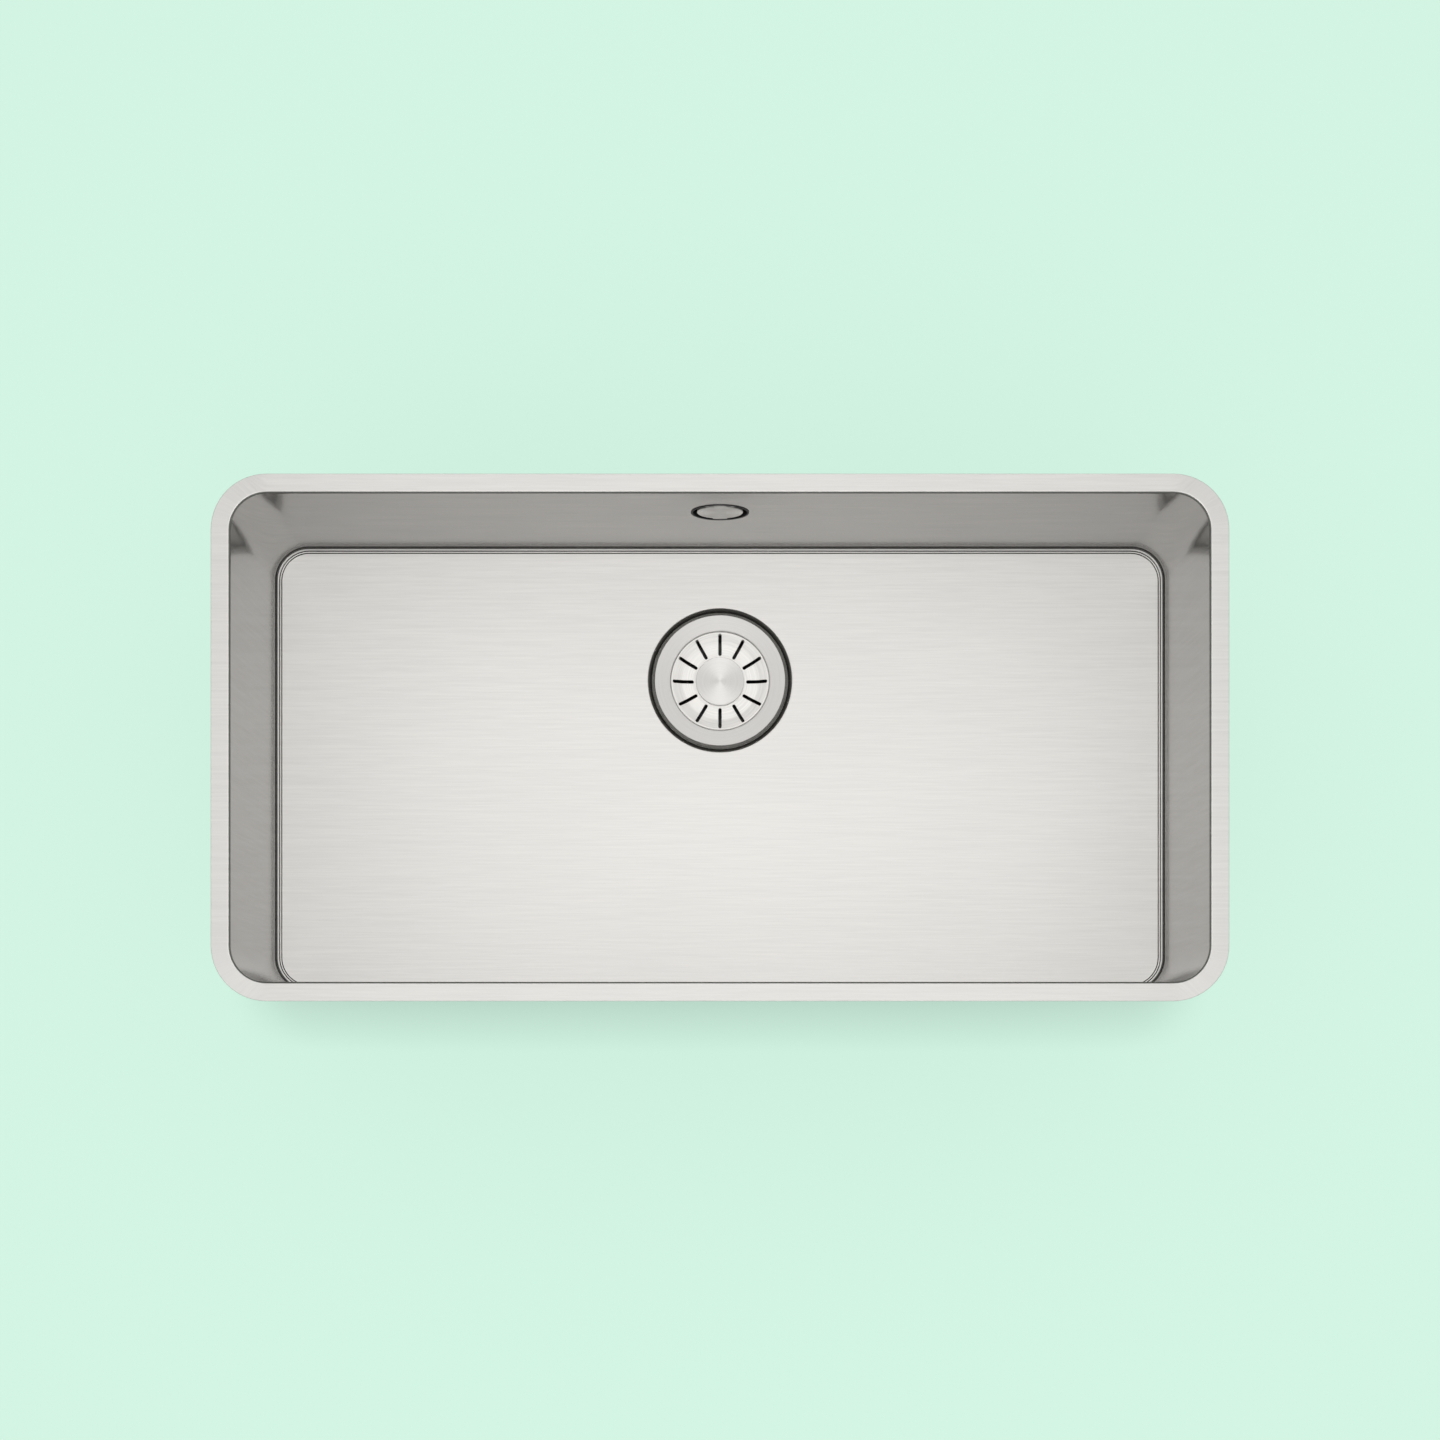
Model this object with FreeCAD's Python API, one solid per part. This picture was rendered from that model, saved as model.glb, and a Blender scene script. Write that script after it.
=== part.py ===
import FreeCAD, Part
import math
import os

# Undermount kitchen sink: one pressed stainless steel bowl with a narrow flange, a 3 1/2 inch
# basket waste behind the middle of its floor, and a round overflow in its back wall that a ribbed
# hose joins to the waste. Swinging clip arms under the flange take the screws that hold it to a
# worktop. All sizes are millimetres. X runs along the sink, +Y to its back wall and +Z up; the
# origin is the middle of the flange's top face, which seals against the worktop's underside.

V = FreeCAD.Vector
UP = V(0, 0, 1)

# ---------------------------------------------------------------- driving dimensions
# bowl
bowl_length = 756.0
bowl_width = 377.0
bowl_depth = 175.0
wall_corner_radius = 28.0
sheet = 1.2
flange_width = 13.0
flange_bend_radius = 2.0
ledge_width = 0.8
ledge_drop = 0.8
ledge_count = 2
ledge_edge_radius = 0.25
wall_foot_radius = 1.6

# basket waste, behind the middle of the floor
waste_y = 76.0
recess_radius = 61.2
recess_depth = 4.0
recess_slope_width = 3.0
recess_shoulder_radius = 2.2
recess_foot_radius = 0.8
waste_hole_radius = 45.0

cup_rim_radius = 55.4
cup_rim_below_floor = 0.8
cup_radius = 42.2
cup_rim_fall = 2.4
cup_bend_radius = 1.2
cup_ledge_depth = 6.4
cup_ledge_width = 2.0
cup_depth = 38.0
cup_foot_radius = 3.0
cup_sheet = 1.0
cup_port_inner = 12.0
cup_port_outer = 26.0
cup_port_count = 6
cup_spoke_angle = 14.0

basket_clearance = 0.3
basket_sheet = 0.8
basket_rim_drop = 3.0
basket_side_fall = 4.3
basket_side_width = 8.4
basket_floor_fall = 1.2
basket_floor_radius = 22.0
slot_count = 12
slot_width = 2.8
slot_inner_radius = 22.4
slot_outer_radius = 40.4

knob_radius = 20.7
knob_thickness = 3.4
knob_gap = 1.2
knob_edge = 0.5
stem_radius = 3.0
running_gap = 0.06
bush_radius = 6.5
bush_collar_radius = 9.0
bush_collar_thickness = 1.6
bush_length = 5.0
plug_travel = 8.0
plug_radius = 32.0
plug_lip = 4.0
plug_thickness = 2.6
plug_rise = 9.0
plug_seat_gap = 0.3
washer_radius = 12.0
washer_thickness = 1.2
plug_nut_across_flats = 8.0
plug_nut_height = 2.2

flange_seal_inner = 46.5
flange_seal_outer = 55.0
body_seal_thickness = 2.4
body_seal_clearance = 1.0

body_wall = 3.0
body_clearance = 1.3
body_rim_radius = 57.0
body_rim_thickness = 4.0
body_cone_height = 26.0
body_straight = 6.0
outlet_radius = 23.9
outlet_bore_radius = 20.0
outlet_length = 16.0
boss_radius = 9.0
boss_length = 26.0
boss_rib_count = 4
boss_rib_width = 2.6
insert_radius = 5.8
insert_length = 16.0
insert_inset = 6.0
clamp_screw_radius = 4.0
clamp_head_radius = 7.5
clamp_head_height = 4.0
clamp_socket_across_flats = 6.0
clamp_socket_depth = 2.2
thread_gap = 0.05

# overflow in the back wall
overflow_z = -57.0
overflow_hole_radius = 22.4
bezel_lip_radius = 23.2
bezel_lip_thickness = 0.5
bezel_sleeve_wall = 0.7
bezel_sleeve_depth = 8.0
bezel_bar_width = 7.0
bezel_bar_thickness = 1.6
cap_radius = 18.3
cap_thickness = 1.4
cap_proud = 0.4
cap_edge = 0.4
cap_tab_depth = 5.5
cap_tab_thickness = 1.0
cap_tab_gap = 0.1
cap_tabs = {90.0: 9.2, 59.0: 3.0, 121.0: 3.0, 270.0: 11.5}
overflow_screw_radius = 2.0
overflow_head_radius = 3.8
overflow_head_height = 2.0
overflow_slot_width = 1.0
overflow_slot_depth = 0.9
overflow_seal_outer = 30.0
overflow_seal_thickness = 3.0
housing_wall = 2.5
housing_chamber_radius = 24.5
housing_depth = 29.0
housing_top_depth = 16.0
housing_rim_thickness = 3.5
housing_boss_radius = 4.5
housing_spigot_root = 15.0

# hose, its spigots and its union nuts
hose_crest_radius = 12.4
hose_root_radius = 10.6
hose_bore_radius = 9.4
hose_rib_pitch = 4.0
hose_bend_radius = 42.0
hose_collar_radius = 13.8
hose_collar_thickness = 2.0
hose_cuff = 7.0
spigot_wall = 3.0
spigot_thread_radius = 14.0
spigot_length = 16.0
hose_washer_thickness = 2.0
union_wall = 3.0
union_length = 16.0
union_lip = 2.5
union_rib_count = 12
union_rib_radius = 1.2
body_port_drop = 18.0
body_port_reach = 60.0

# clips under the flange
clip_long_side_x = (-290.0, -100.0, 100.0, 290.0)
clip_end_y = (0.0,)
clip_from_wall = 8.0
stud_radius = 3.0
stud_length = 20.0
arm_width = 12.0
arm_reach = 44.0
arm_thickness = 2.5
arm_gap = 0.2
arm_bore_gap = 0.1
arm_slot_width = 5.5
arm_slot_length = 18.0
clip_nut_across_flats = 10.0
clip_nut_height = 5.0

# sound-deadening pads glued to the outside of the bowl
pad_thickness = 3.0
pad_corner_radius = 8.0
pad_edge_margin = 20.0
pad_waste_clearance = 14.0
wall_pad_top = 55.0
wall_pad_bottom = 22.0
wall_pad_inset = 45.0
back_pad_from_overflow = 55.0

# ---------------------------------------------------------------- levels that follow from them
floor_z = -bowl_depth
floor_under_z = floor_z - sheet
ledges_width = wall_foot_radius + ledge_count * (ledge_width + ledge_drop)
seat_z = floor_z - recess_depth
seat_under_z = seat_z - sheet
cup_rim_z = floor_z - cup_rim_below_floor
cup_mouth_z = cup_rim_z - cup_rim_fall
cup_ledge_z = floor_z - cup_ledge_depth
cup_floor_z = floor_z - cup_depth
cup_under_z = cup_floor_z - cup_sheet
basket_skirt_radius = cup_radius - basket_clearance
basket_rim_z = floor_z - basket_rim_drop
basket_side_z = basket_rim_z - basket_side_fall
basket_floor_z = basket_side_z - basket_floor_fall
basket_under_z = basket_floor_z - basket_sheet
knob_under_z = basket_floor_z + knob_gap
knob_top_z = knob_under_z + knob_thickness
bush_foot_z = basket_under_z - bush_length
plug_lip_z = cup_floor_z + plug_seat_gap
plug_top_z = plug_lip_z + plug_thickness + plug_rise
plug_crown_under_z = plug_top_z - plug_thickness
stem_foot_z = plug_crown_under_z - washer_thickness - plug_nut_height
body_rim_z = seat_under_z - body_seal_thickness
body_bore_radius = cup_radius + cup_sheet + body_clearance
body_shell_radius = body_bore_radius + body_wall
body_shoulder_z = cup_under_z - body_straight
body_neck_z = body_shoulder_z - body_cone_height
body_end_z = body_neck_z - outlet_length
port_z = cup_under_z - body_port_drop
outer_wall_y = bowl_width / 2 + sheet
outer_wall_x = bowl_length / 2 + sheet
housing_front_y = outer_wall_y + overflow_seal_thickness
housing_back_y = housing_front_y + housing_depth
hose_y = (housing_front_y + housing_back_y) / 2 + housing_rim_thickness / 2
upper_spigot_end_z = overflow_z - housing_chamber_radius - housing_wall - spigot_length
lower_spigot_end_y = waste_y + body_port_reach


# ---------------------------------------------------------------- drawing helpers
def flat(u, v):
    """A sketch point in the XZ plane."""
    return V(u, 0, v)


def rounded_path(points, radii):
    """Lines through the points, with an arc of its own radius at each inner point."""
    edges = []
    start = points[0]
    for i in range(1, len(points) - 1):
        corner = points[i]
        into = (corner - points[i - 1]).normalize()
        away = (points[i + 1] - corner).normalize()
        turn = into.getAngle(away)
        if radii[i - 1] <= 0 or turn < 1e-6:
            edges.append(Part.LineSegment(start, corner).toShape())
            start = corner
            continue
        cut = radii[i - 1] * math.tan(turn / 2)
        first = corner - into * cut
        last = corner + away * cut
        towards = (away - into).normalize()
        middle = corner + towards * (radii[i - 1] / math.cos(turn / 2) - radii[i - 1])
        if (first - start).Length > 1e-6:
            edges.append(Part.LineSegment(start, first).toShape())
        edges.append(Part.Arc(first, middle, last).toShape())
        start = last
    edges.append(Part.LineSegment(start, points[-1]).toShape())
    return edges


def sheet_section(points, radii, thickness):
    """The cut face of a bent sheet: its visible side goes through the points, and its metal lies
    on the right of that line as it is drawn in the XZ plane."""
    n = len(points)
    along = [(points[i + 1] - points[i]).normalize() for i in range(n - 1)]
    right = [V(d.z, 0, -d.x) for d in along]
    back = [points[0] + right[0] * thickness]
    back_radii = []
    for i in range(1, n - 1):
        a, b = right[i - 1], right[i]
        back.append(points[i] + (a + b) * (thickness / (1 + a.dot(b))))
        turns_right = along[i].dot(a) > 0
        change = -thickness if turns_right else thickness
        back_radii.append(max(radii[i - 1] + change, 0.0))
    back.append(points[-1] + right[-1] * thickness)
    edges = rounded_path(points, radii)
    edges.append(Part.LineSegment(points[-1], back[-1]).toShape())
    edges += rounded_path(back[::-1], back_radii[::-1])
    edges.append(Part.LineSegment(back[0], points[0]).toShape())
    return Part.Face(Part.Wire(Part.__sortEdges__(edges)))


def turned(face, angle=360.0):
    """A face in the XZ plane turned about the Z axis."""
    return face.revolve(V(0, 0, 0), UP, angle)


def turned_profile(points):
    """A closed outline in the XZ plane turned about the Z axis."""
    return turned(Part.Face(Part.makePolygon([flat(*p) for p in points + points[:1]])))


def disc(radius, low, high, x=0.0, y=0.0):
    """An upright cylinder between two heights."""
    return Part.makeCylinder(radius, high - low, V(x, y, low), UP)


def ring(inner, outer, low, high, x=0.0, y=0.0):
    """An upright tube between two heights."""
    return disc(outer, low, high, x, y).cut(disc(inner, low - 1, high + 1, x, y))


def ring_sector(inner, outer, low, high, start, sweep):
    """The part of a ring between two angles, in degrees."""
    wedge = Part.makeCylinder(outer, high - low, V(0, 0, low), UP, sweep)
    wedge = wedge.cut(disc(inner, low - 1, high + 1))
    wedge.rotate(V(0, 0, 0), UP, start)
    return wedge


def block(x0, x1, y0, y1, z0, z1):
    return Part.makeBox(x1 - x0, y1 - y0, z1 - z0, V(x0, y0, z0))


def rounded_plate(length, width, radius, low, high):
    """A flat plate with round corners, centred on the Z axis."""
    x, y = length / 2, width / 2
    mid = [V(x, 0, low), V(x, y, low), V(-x, y, low), V(-x, -y, low), V(x, -y, low), V(x, 0, low)]
    outline = Part.Wire(rounded_path(mid, [radius] * 4))
    return Part.Face(outline).extrude(V(0, 0, high - low))


def stadium(length, width, low, high):
    """A plate with half-round ends whose end centres are at x = 0 and x = length."""
    body = block(0, length, -width / 2, width / 2, low, high)
    return body.fuse([disc(width / 2, low, high), disc(width / 2, low, high, length)])


def hexagon(across_flats, low, high, x=0.0, y=0.0):
    """A hexagonal prism on the Z axis."""
    corner = across_flats / math.sqrt(3)
    points = [V(x + corner * math.cos(math.radians(60 * i)),
                y + corner * math.sin(math.radians(60 * i)), low) for i in range(7)]
    points[6] = points[0]
    return Part.Face(Part.makePolygon(points)).extrude(V(0, 0, high - low))


def joined(first, *others):
    return first.fuse(list(others)).removeSplitter()


def to_waste(shape):
    """Moves a piece drawn about the Z axis to the waste's axis."""
    shape.translate(V(0, waste_y, 0))
    return shape


def to_back_wall(shape):
    """Lays a piece drawn about the Z axis on the overflow's axis: its height above z = 0 becomes
    the distance in front of the back wall's visible face, and its own +Y stays up."""
    shape.rotate(V(0, 0, 0), V(1, 0, 0), 90)
    shape.translate(V(0, bowl_width / 2, overflow_z))
    return shape


# ---------------------------------------------------------------- the bowl
def wall_section():
    """The bent edge of the bowl, from the flange's edge to the floor, about a corner's axis."""
    wall = wall_corner_radius
    foot = floor_z + ledge_count * ledge_drop
    points = [flat(wall + flange_bend_radius + flange_width, 0), flat(wall, 0), flat(wall, foot)]
    radii = [flange_bend_radius, wall_foot_radius]
    at, level = wall - wall_foot_radius, foot
    for _ in range(ledge_count):
        at -= ledge_width
        points.append(flat(at, level))
        at -= ledge_drop
        level -= ledge_drop
        points.append(flat(at, level))
        radii += [ledge_edge_radius, ledge_edge_radius]
    points.append(flat(at - ledge_width, level))
    return sheet_section(points[::-1], radii[::-1], sheet)


def bowl_walls():
    """Four bent sides and four turned corners."""
    section = wall_section()
    to_x = bowl_length / 2 - wall_corner_radius
    to_y = bowl_width / 2 - wall_corner_radius
    pieces = []
    quarters = ((to_x, to_y, to_y), (-to_x, to_y, to_x), (-to_x, -to_y, to_y), (to_x, -to_y, to_x))
    for quarter, (x, y, half_run) in enumerate(quarters):
        corner = turned(section, 90)
        side = section.extrude(V(0, -2 * half_run, 0))
        for piece in (corner, side):
            piece.rotate(V(0, 0, 0), UP, 90 * quarter)
            piece.translate(V(x, y, 0))
            pieces.append(piece)
    return pieces


def recess():
    """The pressed seat for the waste, with its hole."""
    shoulder = recess_radius
    foot = recess_radius - recess_slope_width
    points = [flat(waste_hole_radius, seat_z), flat(foot, seat_z), flat(shoulder, floor_z),
              flat(shoulder + 2 * recess_shoulder_radius, floor_z)]
    return turned(sheet_section(points, [recess_foot_radius, recess_shoulder_radius], sheet))


def make_sink_bowl():
    inset = 2 * (ledges_width + ledge_width / 2)
    floor = rounded_plate(bowl_length - inset, bowl_width - inset,
                          wall_corner_radius - inset / 2, floor_under_z, floor_z)
    floor = floor.cut(disc(recess_radius + recess_shoulder_radius, floor_under_z - 1,
                           floor_z + 1, 0, waste_y))
    shell = joined(floor, *bowl_walls(), to_waste(recess()))
    hole = to_back_wall(disc(overflow_hole_radius, -3 * sheet, 3 * sheet))
    return shell.cut(hole)


# ---------------------------------------------------------------- the basket waste
def make_waste_cup():
    """The stainless cup: a dished rim in the recess, a ledge for the basket, a ported floor."""
    below = cup_radius - cup_ledge_width
    points = [flat(clamp_screw_radius + thread_gap, cup_floor_z), flat(below, cup_floor_z),
              flat(below, cup_ledge_z), flat(cup_radius, cup_ledge_z),
              flat(cup_radius, cup_mouth_z), flat(cup_rim_radius, cup_rim_z)]
    radii = [cup_foot_radius, 0.4, 0.4, cup_bend_radius]
    cup = turned(sheet_section(points, radii, cup_sheet))
    pitch = 360.0 / cup_port_count
    for i in range(cup_port_count):
        cup = cup.cut(ring_sector(cup_port_inner, cup_port_outer, cup_under_z - 1,
                                  cup_floor_z + 1, i * pitch + cup_spoke_angle / 2,
                                  pitch - cup_spoke_angle))
    return to_waste(cup)


def rim_underside(radius):
    """The height of the dished rim's underside at a radius."""
    slope = cup_rim_fall / (cup_rim_radius - cup_radius)
    return cup_rim_z - (cup_rim_radius - radius) * slope - cup_sheet * math.hypot(1, slope)


def make_flange_seal():
    """The foam ring between the cup's rim and the recess."""
    inner, outer = flange_seal_inner, flange_seal_outer
    return to_waste(turned_profile([(inner, seat_z), (outer, seat_z),
                                    (outer, rim_underside(outer)), (inner, rim_underside(inner))]))


def make_body_seal():
    return to_waste(ring(waste_hole_radius + body_seal_clearance, body_rim_radius,
                         body_rim_z, seat_under_z))


def body_outline():
    """The waste body's outside, from its rim down to the threaded outlet."""
    return turned_profile([(0, body_rim_z), (body_rim_radius, body_rim_z),
                           (body_rim_radius, body_rim_z - body_rim_thickness),
                           (body_shell_radius, body_rim_z - body_rim_thickness),
                           (body_shell_radius, body_shoulder_z),
                           (outlet_radius, body_neck_z),
                           (outlet_radius, body_end_z), (0, body_end_z)])


def body_hollow():
    """The waste body's water way."""
    return turned_profile([(0, body_rim_z + 1), (body_bore_radius, body_rim_z + 1),
                           (body_bore_radius, body_shoulder_z),
                           (outlet_bore_radius, body_neck_z + body_wall / 2),
                           (outlet_bore_radius, body_end_z - 1), (0, body_end_z - 1)])


def body_port():
    """The side spigot for the overflow hose and its bore, about the waste's axis."""
    end = body_port_reach
    backwards = V(0, 1, 0)
    base = V(0, outlet_radius, port_z)
    spigot = Part.makeCylinder(hose_bore_radius + spigot_wall, end - outlet_radius, base, backwards)
    thread = Part.makeCylinder(spigot_thread_radius, spigot_length - hose_collar_thickness,
                               V(0, end - spigot_length + hose_collar_thickness, port_z), backwards)
    bore = Part.makeCylinder(hose_bore_radius, end, V(0, 0.01, port_z), backwards)
    return spigot.fuse(thread), bore


def make_waste_body():
    outline = body_outline()
    spigot, port_bore = body_port()
    boss_end_z = cup_under_z - boss_length
    boss = disc(boss_radius, boss_end_z, cup_under_z)
    ribs = []
    for i in range(boss_rib_count):
        rib = block(0, body_shell_radius, -boss_rib_width / 2, boss_rib_width / 2,
                    boss_end_z, cup_under_z - body_straight)
        rib.rotate(V(0, 0, 0), UP, 360.0 / boss_rib_count * (i + 0.5))
        ribs.append(rib)
    shell = outline.fuse(spigot).cut(body_hollow()).cut(port_bore.cut(boss))
    core = boss.fuse(ribs).common(outline)
    body = joined(shell, core)
    body = body.cut(disc(insert_radius, cup_under_z - insert_inset - insert_length,
                         cup_under_z - insert_inset))
    body = body.cut(disc(clamp_screw_radius + thread_gap, boss_end_z - 1, cup_under_z + 1))
    return to_waste(body)


def make_clamp_insert():
    """The brass insert in the body's boss that the clamp screw pulls on."""
    high = cup_under_z - insert_inset
    return to_waste(ring(clamp_screw_radius + thread_gap, insert_radius,
                         high - insert_length, high))


def make_clamp_screw():
    head = disc(clamp_head_radius, cup_floor_z, cup_floor_z + clamp_head_height)
    socket = hexagon(clamp_socket_across_flats, cup_floor_z + clamp_head_height
                     - clamp_socket_depth, cup_floor_z + clamp_head_height + 1)
    shank = disc(clamp_screw_radius, cup_under_z - boss_length, cup_floor_z)
    return to_waste(joined(head.cut(socket), shank))


# ---------------------------------------------------------------- the strainer
def make_strainer_basket():
    """The dished strainer that lifts out, with its ring of slots."""
    outer = basket_skirt_radius
    side = outer - basket_sheet - basket_side_width
    points = [flat(bush_radius, basket_floor_z), flat(basket_floor_radius, basket_floor_z),
              flat(side, basket_side_z), flat(outer, basket_rim_z),
              flat(outer, cup_ledge_z + basket_clearance)]
    face = sheet_section(points, [30.0, 9.0, 0.9], basket_sheet)
    basket = turned(face)
    for i in range(slot_count):
        slot = stadium(slot_outer_radius - slot_inner_radius - slot_width, slot_width,
                       basket_under_z - 5, basket_rim_z + 5)
        slot.translate(V(slot_inner_radius + slot_width / 2, 0, 0))
        slot.rotate(V(0, 0, 0), UP, 360.0 / slot_count * i)
        basket = basket.cut(slot)
    return to_waste(basket)


def make_stem_bush():
    """The plastic bush, pressed into the basket, that the stem slides in."""
    sleeve = disc(bush_radius, bush_foot_z, basket_floor_z)
    collar = disc(bush_collar_radius, basket_under_z - bush_collar_thickness, basket_under_z)
    bore = disc(stem_radius + running_gap, bush_foot_z - 1, basket_floor_z + 1)
    return to_waste(joined(sleeve, collar).cut(bore))


def make_strainer_knob():
    """The round turned knob in the middle of the strainer, with a socket for the stem."""
    r, e = knob_radius, knob_edge
    knob = turned_profile([(0, knob_under_z), (r - e, knob_under_z), (r, knob_under_z + e),
                           (r, knob_top_z - e), (r - e, knob_top_z), (0, knob_top_z)])
    return to_waste(knob.cut(disc(stem_radius, knob_under_z - 1, knob_top_z - knob_thickness / 2)))


def make_strainer_stem():
    return to_waste(disc(stem_radius, stem_foot_z, knob_top_z - knob_thickness / 2))


def make_plug_seal():
    """The rubber plug: a soft bell whose lip closes the cup's ports."""
    inner = plug_radius - plug_lip
    crown = washer_radius + 2.0
    points = [flat(plug_radius, plug_lip_z + plug_thickness), flat(inner, plug_lip_z
              + plug_thickness), flat(crown, plug_top_z), flat(stem_radius, plug_top_z)]
    return to_waste(turned(sheet_section(points[::-1], [2.0, 2.0], plug_thickness)))


def make_plug_washer():
    return to_waste(ring(stem_radius, washer_radius, plug_crown_under_z - washer_thickness,
                         plug_crown_under_z))


def make_plug_nut():
    low = plug_crown_under_z - washer_thickness - plug_nut_height
    nut = hexagon(plug_nut_across_flats, low, low + plug_nut_height)
    return to_waste(nut.cut(disc(stem_radius, low - 1, low + plug_nut_height + 1)))


def make_stem_collar():
    """The ring on the stem that stops the plug when it is pulled up."""
    low = plug_top_z
    high = bush_foot_z - plug_travel - plug_seat_gap
    return to_waste(ring(stem_radius, stem_radius + 2.0, low, high))


# ---------------------------------------------------------------- the overflow
def make_overflow_bezel():
    """The thin ring in the wall's hole, with the bar that its screw pulls on."""
    inner = overflow_hole_radius - bezel_sleeve_wall
    lip = ring(inner, bezel_lip_radius, 0, bezel_lip_thickness)
    sleeve = ring(inner, overflow_hole_radius - thread_gap, -bezel_sleeve_depth, 0)
    bar_low = -bezel_sleeve_depth
    bar = block(-inner - bezel_sleeve_wall / 2, inner + bezel_sleeve_wall / 2,
                -bezel_bar_width / 2, bezel_bar_width / 2, bar_low, bar_low + bezel_bar_thickness)
    hole = disc(overflow_screw_radius + running_gap, bar_low - 1, bar_low + bezel_bar_thickness + 1)
    return to_back_wall(joined(lip, sleeve, bar).cut(hole))


def make_overflow_cap():
    """The round cap, whose four tabs hold in the bezel and leave the ring that water enters."""
    r, e = cap_radius, cap_edge
    back = cap_proud - cap_thickness
    face = turned_profile([(0, back), (r, back), (r, cap_proud - e), (r - e, cap_proud),
                           (0, cap_proud)])
    reach = overflow_hole_radius - bezel_sleeve_wall - cap_tab_gap
    limit = disc(reach, back - cap_tab_depth, cap_proud)
    tabs = []
    for angle, width in cap_tabs.items():
        bridge = block(r - 2, reach + 1, -width / 2, width / 2, back, back + cap_tab_thickness)
        leg = block(reach - cap_tab_thickness, reach + 1, -width / 2, width / 2,
                    back - cap_tab_depth, back + cap_tab_thickness)
        tab = bridge.fuse(leg)
        tab.rotate(V(0, 0, 0), UP, angle)
        tabs.append(tab.common(limit))
    return to_back_wall(joined(face, *tabs))


def housing_mid_back():
    """The housing's outer back behind the screw, in front of the wall's visible face."""
    return -(sheet + overflow_seal_thickness + (housing_depth + housing_top_depth) / 2)


def make_overflow_screw():
    bar_face = -bezel_sleeve_depth + bezel_bar_thickness
    head = disc(overflow_head_radius, bar_face, bar_face + overflow_head_height)
    top = bar_face + overflow_head_height
    slot = block(-overflow_head_radius - 1, overflow_head_radius + 1, -overflow_slot_width / 2,
                 overflow_slot_width / 2, top - overflow_slot_depth, top + 1)
    shank = disc(overflow_screw_radius, housing_mid_back() + 2 * housing_wall, bar_face)
    return to_back_wall(joined(head.cut(slot), shank))


def make_overflow_seal():
    return to_back_wall(ring(overflow_hole_radius + 0.3, overflow_seal_outer,
                             -sheet - overflow_seal_thickness, -sheet))


def slanted_chamber(radius, front, wall):
    """A round chamber whose back slants, shallow at its top, inside a back wall of this
    thickness."""
    top, low = front - housing_top_depth + wall, front - housing_depth + wall
    reach = housing_chamber_radius + housing_wall
    side = [V(-reach, reach, front), V(-reach, reach, top), V(-reach, -reach, low),
            V(-reach, -reach, front)]
    prism = Part.Face(Part.makePolygon(side + side[:1])).extrude(V(2 * reach, 0, 0))
    return disc(radius, front - housing_depth, front).common(prism)


def make_overflow_housing():
    """The plastic chamber behind the wall, with its screw boss and its spigot for the hose."""
    front = -sheet - overflow_seal_thickness
    back = front - housing_depth
    shell_radius = housing_chamber_radius + housing_wall
    shell = slanted_chamber(shell_radius, front, 0.0)
    rim = disc(overflow_seal_outer, front - housing_rim_thickness, front)
    chamber = slanted_chamber(housing_chamber_radius, front, housing_wall)
    depth = bowl_width / 2 - hose_y
    down = V(0, -1, 0)
    tube = Part.makeCylinder(hose_bore_radius + spigot_wall,
                             shell_radius + spigot_length - housing_spigot_root,
                             V(0, -housing_spigot_root, depth), down)
    thread = Part.makeCylinder(spigot_thread_radius, spigot_length - hose_collar_thickness,
                               V(0, -shell_radius - hose_collar_thickness, depth), down)
    bore = Part.makeCylinder(hose_bore_radius, shell_radius + spigot_length + 1,
                             V(0, -housing_chamber_radius + hose_bore_radius, depth), down)
    boss = disc(housing_boss_radius, back, -bezel_sleeve_depth)
    boss = boss.common(slanted_chamber(shell_radius, front, 0.0))
    housing = joined(shell, rim, tube, thread).cut(chamber).cut(bore)
    housing = joined(housing, boss)
    pilot = disc(overflow_screw_radius + thread_gap, housing_mid_back() + 2 * housing_wall, 1)
    return to_back_wall(housing.cut(pilot))


# ---------------------------------------------------------------- the hose and its unions
def hose_path():
    """Where the hose starts under the overflow, how it bends, and where it ends at the waste."""
    start_z = upper_spigot_end_z - hose_washer_thickness
    end_y = lower_spigot_end_y + hose_washer_thickness
    down_run = start_z - (port_z + hose_bend_radius)
    along_run = hose_y - hose_bend_radius - end_y
    return start_z, end_y, down_run, along_run


def hose_station(distance):
    """The centre and direction of the hose at a distance from its upper end."""
    start_z, _, down_run, _ = hose_path()
    bend = hose_bend_radius * math.pi / 2
    if distance <= down_run:
        return V(0, hose_y, start_z - distance), V(0, 0, -1)
    if distance <= down_run + bend:
        a = (distance - down_run) / hose_bend_radius
        centre = V(0, hose_y - hose_bend_radius, port_z + hose_bend_radius)
        offset = V(0, math.cos(a), -math.sin(a)) * hose_bend_radius
        return centre + offset, V(0, -math.sin(a), -math.cos(a))
    return V(0, hose_y - hose_bend_radius - (distance - down_run - bend), port_z), V(0, -1, 0)


def hose_circle(distance, radius):
    """A circle square to the hose, started on the X side so that no rib twists."""
    centre, along = hose_station(distance)
    circle = Part.Circle(centre, along, radius)
    circle.XAxis = V(1, 0, 0)
    return Part.Wire(circle.toShape())


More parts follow.
